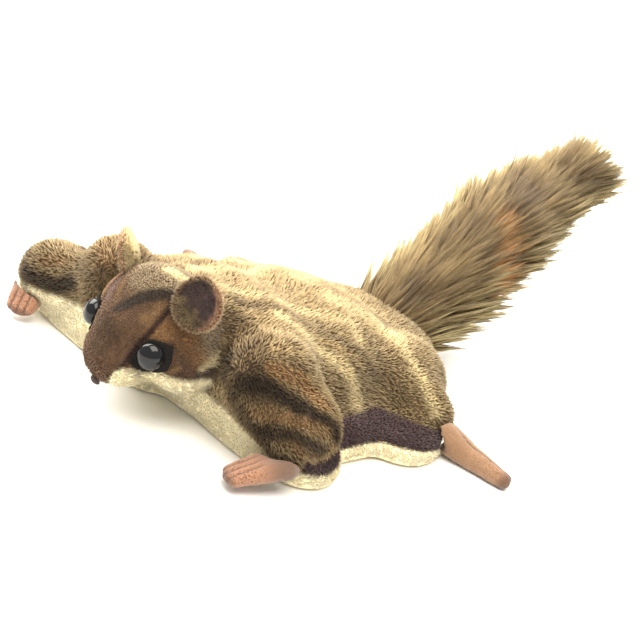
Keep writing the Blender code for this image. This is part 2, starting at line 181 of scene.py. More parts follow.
def strokeDistance(points, path):
    # Distance from each point to an open path, all in millimetres
    best = np.full(len(points), 1e9)
    path = [np.array(p, float) for p in path]
    for start, end in zip(path, path[1:]):
        run = end - start
        t = np.clip(((points - start) @ run) / (run @ run), 0, 1)
        gap = np.linalg.norm(points - start - t[:, None] * run, axis=1)
        best = np.minimum(best, gap)
    return best


def latticeNoise(points, size, seed):
    # Smooth value noise from -1 to 1 on a lattice of the given size
    grid = np.asarray(points, float) / size + 1000.0
    base = np.floor(grid).astype(np.int64)
    part = grid - base
    part = part * part * (3 - 2 * part)
    total = np.zeros(len(grid))
    for dx in (0, 1):
        for dy in (0, 1):
            for dz in (0, 1):
                corner = base + (dx, dy, dz)
                mixed = corner @ np.array([73856093, 19349663, 83492791]) + seed * 2654435761
                mixed = (mixed ^ (mixed >> 13)) * 1274126177 & 0xFFFFFFFF
                value = ((mixed ^ (mixed >> 16)) & 0xFFFF) / 32767.5 - 1
                weight = (part[:, 0] if dx else 1 - part[:, 0])
                weight = weight * (part[:, 1] if dy else 1 - part[:, 1])
                weight = weight * (part[:, 2] if dz else 1 - part[:, 2])
                total += value * weight
    return total


# Camera, floor and light

cameraValues = {
    "turn": 42.0, "height": 24.0, "roll": 14.6, "distance": 716.0,
    "aimAcross": 24.84, "aimUp": 12.93, "aimBase": 25.0, "lens": 85.0,
}


def makeCamera(v):
    turn, height, roll = (math.radians(v[key]) for key in ("turn", "height", "roll"))
    back = Vector((math.sin(turn) * math.cos(height), -math.cos(turn) * math.cos(height), math.sin(height)))
    right = Vector((math.cos(turn), math.sin(turn), 0))
    upward = back.cross(right)
    aim = Vector((0, 0, v["aimBase"])) + right * v["aimAcross"] + upward * v["aimUp"]
    across = right * math.cos(roll) + upward * math.sin(roll)
    above = upward * math.cos(roll) - right * math.sin(roll)
    lens = bpy.data.cameras.new("camera")
    lens.lens = v["lens"]
    lens.sensor_width = 36
    lens.clip_start = 0.01
    lens.clip_end = 20
    camera = bpy.data.objects.new("camera", lens)
    bpy.context.scene.collection.objects.link(camera)
    turned = Matrix((across, above, back)).transposed().to_4x4()
    camera.matrix_world = Matrix.Translation((aim + back * v["distance"]) * mm) @ turned
    bpy.context.scene.camera = camera


studioValues = {
    "floorSize": 6.0, "floorDrop": 0.0004, "floorColour": (0.95, 0.95, 0.95),
    "skyColour": (1.0, 0.985, 0.96), "skyStrength": 0.75,
}
# Each lamp: place, aim, size, power in watts, colour
lampValues = {
    "keyLamp": ((0.30, -0.05, 1.05), (0.0, 0.0, 0.03), 0.9, 18.5, (1.0, 0.94, 0.84)),
    "windowLamp": ((-0.78, -0.04, 0.78), (0.0, 0.0, 0.03), 0.8, 20.0, (1.0, 0.96, 0.89)),
    "backLamp": ((-0.25, 0.86, 0.62), (0.0, 0.05, 0.04), 0.2, 7.0, (1.0, 0.93, 0.80)),
}


def makeStudio(v):
    scene = bpy.context.scene
    scene.view_settings.view_transform = "Standard"
    world = bpy.data.worlds.new("studio")
    scene.world = world
    world.use_nodes = True
    sky = world.node_tree.nodes["Background"]
    sky.inputs["Color"].default_value = (*v["skyColour"], 1)
    sky.inputs["Strength"].default_value = v["skyStrength"]
    sheet = bmesh.new()
    bmesh.ops.create_grid(sheet, x_segments=1, y_segments=1, size=v["floorSize"] / 2)
    for vert in sheet.verts:
        vert.co.z = -v["floorDrop"]
    floor = newPiece("floor", meshOf(sheet, "floor"))
    paint = bpy.data.materials.new("floorPaint")
    paint.use_nodes = True
    shader = paint.node_tree.nodes["Principled BSDF"]
    shader.inputs["Base Color"].default_value = (*v["floorColour"], 1)
    shader.inputs["Roughness"].default_value = 0.9
    floor.data.materials.append(paint)
    for name, (place, aim, size, power, colour) in lampValues.items():
        light = bpy.data.lights.new(name, "AREA")
        light.shape = "SQUARE"
        light.size = size
        light.energy = power
        light.color = colour
        lamp = bpy.data.objects.new(name, light)
        scene.collection.objects.link(lamp)
        lamp.location = place
        lamp.rotation_euler = (Vector(aim) - Vector(place)).to_track_quat("-Z", "Y").to_euler()


makeCamera(cameraValues)
makeStudio(studioValues)
print("camera and studio are set")

# Shader groups and materials


def addNode(tree, kind, **settings):
    node = tree.nodes.new(kind)
    for key, value in settings.items():
        setattr(node, key, value)
    return node


def newGroup(name, inputs, outputs):
    group = bpy.data.node_groups.new(name, "ShaderNodeTree")
    for label, kind, value in inputs:
        socket = group.interface.new_socket(label, in_out="INPUT", socket_type=kind)
        socket.default_value = value
    for label, kind in outputs:
        group.interface.new_socket(label, in_out="OUTPUT", socket_type=kind)
    return group, addNode(group, "NodeGroupInput"), addNode(group, "NodeGroupOutput")


def mixColour(tree, share, first, second, blend="MIX"):
    node = addNode(tree, "ShaderNodeMix", data_type="RGBA", blend_type=blend)
    for socket, source in ((node.inputs["Factor"], share), (node.inputs[6], first), (node.inputs[7], second)):
        if isinstance(source, bpy.types.NodeSocket):
            tree.links.new(source, socket)
        elif isinstance(source, tuple):
            socket.default_value = (*source, 1)
        else:
            socket.default_value = source
    return node.outputs[2]


def maths(tree, operation, *values):
    node = addNode(tree, "ShaderNodeMath", operation=operation)
    for socket, source in zip(node.inputs, values):
        if isinstance(source, bpy.types.NodeSocket):
            tree.links.new(source, socket)
        else:
            socket.default_value = source
    return node.outputs[0]


def noiseOf(tree, scale, detail=2.0, stretch=None):
    # Noise on object coordinates, whose scale is in cycles for each metre
    place = addNode(tree, "ShaderNodeTexCoord").outputs["Object"]
    if stretch:
        mapping = addNode(tree, "ShaderNodeMapping")
        mapping.inputs["Scale"].default_value = stretch
        tree.links.new(place, mapping.inputs["Vector"])
        place = mapping.outputs["Vector"]
    grain = addNode(tree, "ShaderNodeTexNoise")
    tree.links.new(place, grain.inputs["Vector"])
    if isinstance(scale, bpy.types.NodeSocket):
        tree.links.new(scale, grain.inputs["Scale"])
    else:
        grain.inputs["Scale"].default_value = scale
    grain.inputs["Detail"].default_value = detail
    return grain.outputs["Fac"]


def makePileGroup():
    # Colour of a tuft from its root to its tip, with dark and light hairs among each other
    group, source, sink = newGroup("pileColour", [
        ("Coat", "NodeSocketColor", (0.3, 0.2, 0.1, 1)), ("Tips", "NodeSocketColor", (0.7, 0.6, 0.4, 1)),
        ("Along", "NodeSocketFloat", 0.5), ("Chance", "NodeSocketFloat", 0.5), ("Hair", "NodeSocketFloat", 0.5),
        ("Root Shade", "NodeSocketFloat", 0.4), ("Tip Start", "NodeSocketFloat", 0.45),
        ("Variation", "NodeSocketFloat", 0.3), ("Grizzle", "NodeSocketFloat", 0.5),
    ], [("Color", "NodeSocketColor")])
    rise = addNode(group, "ShaderNodeMapRange", interpolation_type="SMOOTHSTEP")
    group.links.new(source.outputs["Along"], rise.inputs["Value"])
    group.links.new(source.outputs["Tip Start"], rise.inputs["From Min"])
    light = addNode(group, "ShaderNodeMapRange", interpolation_type="SMOOTHSTEP")
    group.links.new(source.outputs["Hair"], light.inputs["Value"])
    light.inputs["From Min"].default_value = 0.3
    light.inputs["From Max"].default_value = 0.6
    dull = maths(group, "SUBTRACT", 1.0, light.outputs["Result"])
    held = maths(group, "SUBTRACT", 1.0, maths(group, "MULTIPLY", dull, source.outputs["Grizzle"]))
    share = maths(group, "MULTIPLY", rise.outputs["Result"], held)
    shade = addNode(group, "ShaderNodeMapRange")
    group.links.new(source.outputs["Along"], shade.inputs["Value"])
    shade.inputs["From Max"].default_value = 0.55
    group.links.new(source.outputs["Root Shade"], shade.inputs["To Min"])
    dark = mixColour(group, 1.0, source.outputs["Coat"], shade.outputs["Result"], "MULTIPLY")
    tipped = mixColour(group, share, dark, source.outputs["Tips"])
    luck = maths(group, "ADD", source.outputs["Chance"], source.outputs["Hair"])
    swing = maths(group, "MULTIPLY", maths(group, "SUBTRACT", luck, 1.0), source.outputs["Variation"])
    lit = mixColour(group, 1.0, tipped, maths(group, "ADD", swing, 1.0), "MULTIPLY")
    group.links.new(lit, sink.inputs["Color"])
    return group


pileGroup = makePileGroup()


def plainMaterial(name, roughness, sheen=0.0, gloss=0.2):
    material = bpy.data.materials.new(name)
    material.use_nodes = True
    tree = material.node_tree
    shader = tree.nodes["Principled BSDF"]
    shader.inputs["Roughness"].default_value = roughness
    shader.inputs["Metallic"].default_value = 0.0
    shader.inputs["Sheen Weight"].default_value = sheen
    shader.inputs["Sheen Roughness"].default_value = 0.5
    shader.inputs["Specular IOR Level"].default_value = gloss
    return material, tree, shader


def attributeOf(tree, name, output):
    node = addNode(tree, "ShaderNodeAttribute", attribute_name=name)
    return node.outputs[output]


def addBump(tree, shader, height, strength, distance):
    bump = addNode(tree, "ShaderNodeBump")
    bump.inputs["Strength"].default_value = strength
    bump.inputs["Distance"].default_value = distance
    tree.links.new(height, bump.inputs["Height"])
    tree.links.new(bump.outputs["Normal"], shader.inputs["Normal"])


def pileMaterial(name, v):
    material, tree, shader = plainMaterial(name, v["roughness"], v["sheen"])
    pile = addNode(tree, "ShaderNodeGroup", node_tree=pileGroup)
    for label, key in (("Root Shade", "rootShade"), ("Tip Start", "tipStart"), ("Variation", "variation"),
                       ("Grizzle", "grizzle")):
        pile.inputs[label].default_value = v[key]
    for socket, attribute, output in (("Coat", "coat", "Color"), ("Tips", "tips", "Color"),
                                      ("Along", "along", "Fac"), ("Chance", "chance", "Fac"),
                                      ("Hair", "hair", "Fac")):
        tree.links.new(attributeOf(tree, attribute, output), pile.inputs[socket])
    grain = maths(tree, "MULTIPLY_ADD", noiseOf(tree, v["patchScale"]), v["patchiness"], 1 - v["patchiness"] / 2)
    tree.links.new(mixColour(tree, 1.0, pile.outputs["Color"], grain, "MULTIPLY"), shader.inputs["Base Color"])
    return material


def skinMaterial(name, shade, grain, bumpDepth):
    # The woven back of the plush with its shortest pile, seen between the tufts
    material, tree, shader = plainMaterial(name, 0.95, 0.2)
    fleck = noiseOf(tree, grain, 3.0)
    tone = maths(tree, "MULTIPLY_ADD", fleck, 1.1 * (1.05 - shade), shade * 1.5 - 0.5)
    coat = mixColour(tree, 1.0, attributeOf(tree, "coat", "Color"), tone, "MULTIPLY")
    tree.links.new(coat, shader.inputs["Base Color"])
    addBump(tree, shader, fleck, 0.6, bumpDepth)
    return material


pileValues = {
    "bodyPile": {"rootShade": 0.55, "tipStart": 0.35, "variation": 0.3, "grizzle": 0.75, "patchiness": 0.4,
                 "patchScale": 260.0, "sheen": 0.1, "roughness": 0.85},
    "facePile": {"rootShade": 0.6, "tipStart": 0.45, "variation": 0.2, "grizzle": 0.6, "patchiness": 0.3,
                 "patchScale": 240.0, "sheen": 0.1, "roughness": 0.85},
    "creamPile": {"rootShade": 1.0, "tipStart": 0.3, "variation": 0.04, "grizzle": 0.0, "patchiness": 0.1,
                  "patchScale": 120.0, "sheen": 0.15, "roughness": 0.9},
    "tailPile": {"rootShade": 0.35, "tipStart": 0.45, "variation": 0.35, "grizzle": 0.65, "patchiness": 0.5,
                 "patchScale": 160.0, "sheen": 0.1, "roughness": 0.7},
}
bodyPile, facePile, creamPile, tailPile = (pileMaterial(name, v) for name, v in pileValues.items())
plushBacking = skinMaterial("plushBacking", 0.7, 900.0, 0.0006)
creamBacking = skinMaterial("creamBacking", 0.95, 900.0, 0.0004)
print("pile materials are ready")

# Skin: one soft form in place of the sewn solids

skinValues = {
    "grow": 0.45, "voxel": 1.6, "smoothRounds": 4,
    "bodyPile": 2.8, "facePile": 1.5, "muzzlePile": 0.8, "creamPile": 1.5, "trimPile": 1.8,
    "floorPile": 0.5, "creaseDepth": 1.0, "creaseWidth": 2.2,
}
# Soft folds pressed into the skin: path, half width, depth, mirrored
foldLines = [
    ([(29, -66, 20), (26, -59, 13), (27, -57, 8), (30, -56, 3)], 3.0, 1.3),
    ([(22, -70, 16), (17, -62, 10), (15, -58, 4)], 3.5, 0.9),
    ([(42, -59, 14), (40, -57, 8), (42, -56, 3)], 3.5, 0.9),
    ([(34, -55, 46), (36, -60, 38), (36, -64, 30), (33, -66, 24)], 2.5, 1.2),
    ([(58, -58, 34), (62, -54, 38), (68, -48, 41)], 3.0, 0.6),
    ([(48, 30, 40), (62, 31, 33), (74, 32, 22)], 4.0, 0.7),
]
seamValues = {
    "front": 25.0, "frontFall": 0.18, "farFall": 0.11,
    "flankAlong": (-50, -36, -23, 0, 21, 34, 48), "flankRise": (7.5, 8, 10, 10.5, 10.5, 8, 4.5), "trimHeight": 7.2, "trimSide": 62.0, "trimFront": -48.0, "trimRear": 46.0,
    "jawNose": 14.0, "jawCheek": 28.5, "jawWidth": 15.0,
}
fleshNodes = [
    "torso", "belly", "membrane_left", "membrane_right", "foreleg_left", "foreleg_right",
    "hindleg_left", "hindleg_right", "head", "jaw",
]


def bellySeam(x, y):
    v = seamValues
    front = v["front"] - np.where(x > 0, v["frontFall"], v["farFall"]) * np.abs(x)
    flank = np.interp(y, v["flankAlong"], v["flankRise"])
    return front + (flank - front) * smoothStep(y, -57, -44)


def jawSeam(x, y):
    v = seamValues
    rise = smoothStep(np.abs(x), v["jawWidth"] * 0.3, v["jawWidth"])
    return v["jawNose"] + (v["jawCheek"] - v["jawNose"]) * np.maximum(rise, smoothStep(y, -88, -70))


def makeSkin(v):
    skin = joinedCopy("skin", fleshNodes, v["grow"] * mm)
    remesh = skin.modifiers.new("remesh", "REMESH")
    remesh.mode = "VOXEL"
    remesh.voxel_size = v["voxel"] * mm
    soften = skin.modifiers.new("soften", "SMOOTH")
    soften.factor = 0.5
    soften.iterations = v["smoothRounds"]
    applyModifiers(skin)
    keepLargest(skin)
    return skin


def regionsOf(points):
    # Shares of each vertex that belong to the head, the cream cloth and the dark trim
    at = points / mm
    x, y, z = at.T
    headGap = distanceTo(surfaceOf(["head", "jaw"]), points) / mm
    bodyGap = distanceTo(surfaceOf([n for n in fleshNodes if n not in ("head", "jaw")]), points) / mm
    v = seamValues
    wave = latticeNoise(at, 5.0, 3) * 0.5
    head = smoothStep(bodyGap - headGap, -1.0, 1.0)
    seam = np.where(head > 0.5, jawSeam(x, y), bellySeam(x, y))
    cream = 1 - smoothStep(z - seam + wave, -0.9, 0.9)
    inTrim = smoothStep(np.abs(x) + wave, v["trimSide"] - 0.8, v["trimSide"] + 0.8)
    inTrim = inTrim * smoothStep(y + wave, v["trimFront"] - 0.8, v["trimFront"] + 0.8)
    inTrim = inTrim * (1 - smoothStep(y + wave, v["trimRear"] - 0.8, v["trimRear"] + 0.8))
    under = 1 - smoothStep(z - seam - v["trimHeight"] + wave, -0.9, 0.9)
    trim = inTrim * under * (1 - cream) * (1 - head)
    edges = {
        "cream": np.abs(z - seam),
        "head": np.abs(bodyGap - headGap),
        "trim": np.abs(z - seam - v["trimHeight"]) + 20 * (1 - inTrim),
    }
    return head, cream, trim, edges


# Colours of the plush, as linear values
coatColours = {
    "straw": (0.47, 0.33, 0.155), "brown": (0.130, 0.078, 0.038), "pale": (0.84, 0.69, 0.39),
    "dark": (0.036, 0.021, 0.012), "orange": (0.32, 0.160, 0.056), "cream": (0.98, 0.87, 0.56),
    "trim": (0.062, 0.034, 0.037), "velvet": (0.135, 0.070, 0.033), "maroon": (0.034, 0.012, 0.009),
    "trimTips": (0.30, 0.20, 0.18), "creamTips": (1.0, 0.93, 0.68), "grey": (0.24, 0.18, 0.11),
    # mauveLit is the mauve of the ear lining painted lighter, as painted light on the far ear's lit inside
    "mauveLit": (0.20, 0.115, 0.095), "ochre": (0.24, 0.135, 0.055),
}
# Strokes over the coat: both sides or one, path, full and outer half width, colour, strength
bodyStrokes = [
    ("both", [(8, -46, 62), (14, -20, 54), (22, 6, 49), (30, 24, 46), (43, 20, 41)], 1.5, 6.0, "pale", 0.6),
    ("both", [(30, -24, 55), (40, -15, 50), (48, -1, 38), (54, 6, 32), (62, 11, 17)], 1.5, 5.5, "pale", 0.9),
    ("both", [(36, -8, 47), (42, 6, 40), (46, 16, 36)], 2.0, 6.0, "straw", 0.8),
    ("both", [(12, 30, 47), (24, 40, 43), (40, 46, 40)], 4.0, 13.0, "pale", 0.6),
    ("both", [(24, 47, 41), (51, 43, 37), (72, 42, 27), (81, 40, 20)], 1.5, 5.0, "pale", 0.85),
    ("both", [(4, 60, 35), (30, 70, 26), (52, 66, 18)], 1.5, 5.5, "pale", 0.6),
    ("both", [(20, -40, 58), (26, -14, 53), (36, 2, 46), (48, 18, 38), (58, 24, 28)], 1.0, 4.5, "brown", 0.7),
    ("both", [(38, 28, 44), (52, 28, 36), (66, 28, 26)], 1.0, 5.0, "brown", 0.5),
    ("both", [(10, 50, 41), (34, 58, 34), (56, 56, 26)], 1.0, 4.5, "brown", 0.45),
    ("both", [(30, -50, 57), (41, -51, 50), (50, -54, 44), (57, -58, 38)], 5.0, 13.0, "brown", 0.85),
    ("both", [(35, -57, 42), (42, -56, 38), (50, -57, 32)], 2.5, 6.5, "dark", 0.7),
    ("both", [(56, -52, 46), (60, -42, 50), (68, -34, 48), (80, -30, 40)], 1.0, 4.0, "brown", 0.6),
    ("both", [(60, -50, 46), (64, -47, 46), (69, -40, 46), (82, -36, 41)], 2.0, 6.0, "orange", 0.95),
    ("both", [(52, -60, 36), (61, -56, 41), (71, -51, 40), (82, -46, 39), (89, -36, 34), (92, -28, 26)],
     2.0, 5.5, "dark", 0.95),
    ("both", [(61, -60, 27), (72, -58, 33), (82, -53, 34), (90, -40, 31)], 1.5, 5.0, "orange", 0.6),
    ("both", [(62, -62, 20), (76, -58, 26), (84, -56, 28), (93, -40, 22)], 1.5, 5.5, "dark", 0.8),
    ("both", [(84, -54, 23), (90, -50, 20), (94, -42, 16)], 1.0, 4.5, "ochre", 0.9),
    ("both", [(40, -58, 34), (50, -60, 28), (58, -60, 21), (72, -60, 18)], 2.0, 6.5, "dark", 0.6),
    ("far", [(-52, -60, 46), (-59, -55, 48), (-64, -52, 46)], 4.0, 11.0, "orange", 0.55),
    ("far", [(-84, -70, 33), (-79, -66, 36), (-74, -64, 37)], 2.0, 7.0, "ochre", 0.95),
    ("far", [(-91, -74, 22), (-82, -74, 22), (-72, -70, 23), (-66, -66, 27)], 2.5, 6.5, "dark", 0.9),
    ("far", [(-66, -58, 40), (-60, -62, 34), (-55, -63, 27)], 1.0, 4.0, "dark", 0.9),
    ("far", [(-49, -63, 42), (-47, -63, 36)], 1.5, 4.5, "dark", 0.85),
]
headStrokes = [
    ("both", [(20, -83, 47), (23, -76, 52), (27, -72, 48)], 2.0, 8.0, "orange", 0.7),
    ("near", [(13, -85, 51), (15, -82, 53), (15, -79, 57)], 1.0, 4.5, "ochre", 0.9),
    ("both", [(30, -71, 45), (33, -67, 39)], 1.5, 7.0, "orange", 0.6),
    # Far side of the forehead: the lining's mauve painted lighter, as painted light
    ("far", [(-15, -85, 50), (-18, -81, 54)], 2.0, 5.0, "mauveLit", 0.8),
    ("both", [(1, -97, 35), (1, -94, 42)], 2.0, 9.0, "dark", 0.35),
    # Painted shade in the fold where the cheek meets the body
    ("both", [(33, -66, 32), (35, -62, 33), (34, -60, 37)], 1.0, 3.5, "dark", 0.9),
    ("near", [(-1, -89, 50), (2, -86, 54), (7, -81, 59), (11, -77, 61.5), (15, -73, 62)], 2.0, 4.0, "dark", 1.0),
    ("far", [(-8, -86, 53), (-12, -80, 58), (-13, -75, 61)], 0.5, 2.4, "ochre", 0.8),
    # Pale fur between the ears, partly a painted highlight on the top of the head
    ("near", [(0, -66, 67), (6, -64, 66), (8, -62, 65)], 1.5, 5.0, "pale", 1.0),
    ("both", [(20, -84, 28.5), (24, -80, 28.5), (27, -78, 30.5), (30, -75.5, 34.5)], 0.7, 1.7, "ochre", 0.9),
    ("both", [(21, -80, 26), (24, -79, 26.6), (28, -77, 28.6), (31, -75, 32)], 0.3, 1.0, "maroon", 0.85),
]
faceSeam = [(12, -95, 24), (14, -93.5, 28), (15, -90.5, 34), (16.5, -88.5, 40), (17.5, -85, 47), (18, -80.5, 53.5),
            (17.5, -75, 59), (19, -69, 62)]
rearFringe = [(35, -57, 58), (36, -57, 50), (34.5, -58, 42), (35, -62, 37), (35, -66, 34.5)]
crownValues = {"middle": -66.0, "halfAcross": 17.0, "halfAlong": 19.0}


def bandShare(at, path, full, outer):
    return 1 - smoothStep(strokeDistance(at, path), full, outer)


def blend(base, colour, share):
    return mix(base, colour, np.asarray(share)[:, None])


def stroked(base, at, strokes, palette, wobble):
    folded = np.column_stack([np.abs(at[:, 0]), at[:, 1:]])
    for side, path, full, outer, colour, strength in strokes:
        gap = strokeDistance(folded if side == "both" else at, path) + wobble
        base = blend(base, palette[colour], strength * (1 - smoothStep(gap, full, outer)))
    return base


def paint(points, normals, head, cream, trim):
    # Colour of the pile and of its tips for each vertex
    at = points / mm
    folded = np.column_stack([np.abs(at[:, 0]), at[:, 1:]])
    c = {name: np.array(value) for name, value in coatColours.items()}
    near = np.hypot((folded[:, 0] - 76) * 0.8, folded[:, 1] + 52)
    stripes = latticeNoise(np.stack([near, at[:, 0] * 0.08, at[:, 1] * 0.08], axis=1), 3.0, 5)
    broad = latticeNoise(at, 11.0, 9)
    fine = latticeNoise(at, 2.4, 11)
    # Painted light from above: rise makes the coat lighter towards the top of the back, more so towards the rear.
    # The stripes and noise are the coat's own tone.
    rise = smoothStep(at[:, 2], 22, 50) * (0.45 + 0.55 * smoothStep(at[:, 1], -50, -20))
    tone = 0.30 + 0.36 * rise + 0.16 * smoothStep(at[:, 1], -15, 15) * (1 - rise) + 0.22 * stripes + 0.12 * broad + 0.10 * fine
    body = blend(np.tile(c["brown"], (len(at), 1)), c["straw"], np.clip(tone, 0, 1))
    body = stroked(body, at, bodyStrokes, c, latticeNoise(at, 3.0, 21) * 1.2)

    face = c["velvet"] * (1 + 0.14 * broad + 0.12 * fine)[:, None]
    crown = np.hypot(at[:, 0] / crownValues["halfAcross"], (at[:, 1] - crownValues["middle"]) / crownValues["halfAlong"])
    onCrown = (1 - smoothStep(crown, 0.75, 1.05)) * smoothStep(at[:, 2], 51, 57)
    rear = smoothStep(at[:, 1], -70, -63) * smoothStep(at[:, 2], 28, 36)
    grizzled = np.maximum(onCrown, rear * 0.85)
    streaks = latticeNoise(np.stack([at[:, 0], at[:, 1] * 0.25, at[:, 2] * 0.25], axis=1), 1.6, 15)
    grey = blend(np.tile(c["brown"], (len(at), 1)), c["grey"] * 1.25, np.clip(0.6 + 0.5 * streaks, 0, 1))
    face = blend(face, grey, grizzled)
    face = stroked(face, at, headStrokes, c, fine * 0.5)
    seamEnd = smoothStep(at[:, 2], 20, 26)
    seam = np.where(at[:, 0] > 0, 0.95, 0.75) * bandShare(folded, faceSeam, 0.9, 2.1)
    face = blend(face, c["maroon"], seam * seamEnd)
    face = blend(face, c["pale"], 0.85 * bandShare(folded, rearFringe, 0.7, 2.6))

    coat = blend(body, face, head)
    light = smoothStep(coat.max(axis=1), 0.05, 0.32)
    lift = mix(0.12 + 0.55 * light, 0.05 + 0.12 * light + 0.4 * grizzled * light, head)
    tips = blend(coat, c["pale"], lift)
    coat = blend(coat, c["trim"], trim)
    tips = blend(tips, mix(c["trim"], c["trimTips"], 0.4), trim)
    coat = blend(coat, c["cream"], cream)
    tips = blend(tips, c["creamTips"], cream)
    stitched = head * bandShare(at, [(14, -92, 24), (18, -86, 26), (20, -82, 26.2)], 0.3, 1.0)
    coat = blend(coat, c["maroon"], 0.5 * stitched)
    return np.clip(coat, 0, 1), np.clip(tips, 0, 1), grizzled


def lieOf(points, normals, head):
    # Which way the pile lies: back along the body and head, and out along the limbs
    at = points / mm
    x, y, z = at.T
    side = np.sign(x)
    out = smoothStep(np.abs(x), 50, 78)
    flow = np.stack([side * (0.25 + 0.9 * out), 1.0 - 1.15 * out * (y < 0), -0.45 * np.ones(len(x))], axis=1)
    faceFlow = np.stack([side * 0.35 * smoothStep(np.abs(x), 4, 18), np.ones(len(x)),
                         0.25 - 0.4 * smoothStep(np.abs(x), 14, 30)], axis=1)
    flow = mix(flow, faceFlow, head[:, None])
    swirl = np.stack([latticeNoise(at, 6.0, 31), latticeNoise(at, 6.0, 32), latticeNoise(at, 6.0, 33)], axis=1)
    flow = flow + swirl * 0.35
    flow -= normals * (flow * normals).sum(axis=1)[:, None]
    return flow / np.maximum(np.linalg.norm(flow, axis=1), 1e-9)[:, None]


def dressSkin(skin, v):
    points = pointsOf(skin)
    normals = normalsOf(skin)
    head, cream, trim, edges = regionsOf(points)
    at = points / mm
    muzzle = head * smoothStep(-at[:, 1], 66, 84)
    pile = v["bodyPile"] + (v["facePile"] - v["bodyPile"]) * head
    pile = mix(pile, v["muzzlePile"], muzzle)
    pile = mix(pile, v["trimPile"], trim)
    pile = mix(pile, v["creamPile"], cream)
    low = (1 - smoothStep(at[:, 2], 1.0, 6.0)) * smoothStep(-normals[:, 2], 0.3, 0.8)
    pile = mix(pile, v["floorPile"], low)
    crease = np.zeros(len(at))
    for name, gap in edges.items():
        crease = np.maximum(crease, 1 - smoothStep(gap, 0.2, v["creaseWidth"]))
    folded = np.column_stack([np.abs(at[:, 0]), at[:, 1:]])
    crease = np.maximum(crease, 0.9 * head * bandShare(folded, faceSeam, 0.3, 1.8) * smoothStep(at[:, 2], 20, 26))
    inset = pile + v["grow"] + crease * v["creaseDepth"] * (1 - low)
    for path, width, depth in foldLines:
        inset = inset + depth * bandShare(folded, path, 0.2, width) * (1 - low)
    coat, tips, grizzled = paint(points, normals, head, cream, trim)
    moved = points - normals * (inset * mm)[:, None]
    moved[:, 2] = np.maximum(moved[:, 2], 0.0003)
    setPoints(skin, moved)
    store(skin, "coat", coat, "FLOAT_COLOR")
    store(skin, "tips", tips, "FLOAT_COLOR")
    store(skin, "lie", lieOf(points, normals, head), "FLOAT_VECTOR")
    store(skin, "pile", pile * mm, "FLOAT")
    store(skin, "run", pile * mm, "FLOAT")
    zones = {"head": head > 0.5, "cream": cream > 0.5, "trim": trim > 0.5}
    return at, zones


def unwrap(piece):
    # Flattens the piece's own shape for the pile's colours
    bpy.context.view_layer.objects.active = piece
    piece.select_set(True)
    bpy.ops.object.mode_set(mode="EDIT")
    bpy.ops.mesh.select_all(action="SELECT")
    bpy.ops.uv.smart_project(angle_limit=math.radians(66), island_margin=0.004)
    bpy.ops.object.mode_set(mode="OBJECT")
    piece.select_set(False)
    piece.data.uv_layers[0].name = "OFBake"


skin = makeSkin(skinValues)
skinAt, skinZones = dressSkin(skin, skinValues)
unwrap(skin)
skin.data.materials.append(plushBacking)
skin.data.materials.append(creamBacking)
for face in skin.data.polygons:
    face.material_index = int(all(skinZones["cream"][corner] for corner in face.vertices))
smoothShaded(skin)
print("skin has", len(skin.data.polygons), "faces")

# Tufts: unit shapes and the tree that sets them out


def makeTuft(name, strands, rings, spread, gather, lean, width, chance):
    # Unit tuft: roots near the origin, lying towards +X and rising to +Z, one closed strand after another
    whole = bmesh.new()
    alongLayer = whole.verts.layers.float.new("along")
    hairLayer = whole.verts.layers.float.new("hair")
    spotLayer = whole.verts.layers.float_vector.new("spot")
    for strand in range(strands):
        turn = 2 * math.pi * (strand + chance.uniform(0, 0.6)) / strands
        reach = spread * (0.3 + 0.7 * chance.uniform())
        root = Vector((math.cos(turn) * reach * 0.6, math.sin(turn) * reach, 0))
        tipSide = math.sin(turn) * reach * gather + chance.uniform(-0.15, 0.15) * spread
        length = chance.uniform(0.7, 1.0)
        bend = chance.uniform(0.9, 1.25)
        hair = chance.uniform()

        def place(s):
            return Vector((root.x * (1 - s) + lean * length * s ** (1.5 * bend), root.y * (1 - s) + tipSide * s,
                           length * (1.25 * s - 0.25 * s * s) - 0.08 * (1 - s)))

        def corner(centre, s, side):
            vert = whole.verts.new(centre)
            vert[alongLayer], vert[hairLayer] = s, hair
            vert[spotLayer] = (s - 0.5, (strand + side) / strands - 0.5, 0)
            return vert

        loops = []
        for ring in range(rings):
            s = ring / rings
            centre = place(s)
            along = (place(s + 0.05) - centre).normalized()
            sideways = along.cross(Vector((0, 0, 1)))
            sideways = sideways.normalized() if sideways.length > 1e-3 else Vector((0, -1, 0))
            outward = sideways.cross(along)
            size = width * (1 - s) ** 0.6 * 0.5
            angles = [2 * math.pi * k / 3 + turn for k in range(3)]
            loops.append([corner(centre + sideways * math.cos(a) * size + outward * math.sin(a) * size * 0.6,
                                 s, k / 3) for k, a in enumerate(angles)])
        tip = corner(place(1.0), 1.0, 0.5)
        for near, far in zip(loops, loops[1:]):
            for k in range(3):
                whole.faces.new((near[k], near[(k + 1) % 3], far[(k + 1) % 3], far[k]))
        for k in range(3):
            whole.faces.new((loops[-1][k], loops[-1][(k + 1) % 3], tip))
        whole.faces.new(loops[0][::-1])
    bmesh.ops.recalc_face_normals(whole, faces=whole.faces)
    return newPiece(name, meshOf(whole, name))


def makeTuftSet(name, kinds, **shape):
    chance = np.random.default_rng(shape.pop("seed"))
    shelf = bpy.data.collections.new(name)
    bpy.context.scene.collection.children.link(shelf)
    for kind in range(kinds):
        tuft = makeTuft(name + str(kind), chance=chance, **shape)
        bpy.context.scene.collection.objects.unlink(tuft)
        shelf.objects.link(tuft)
    return shelf


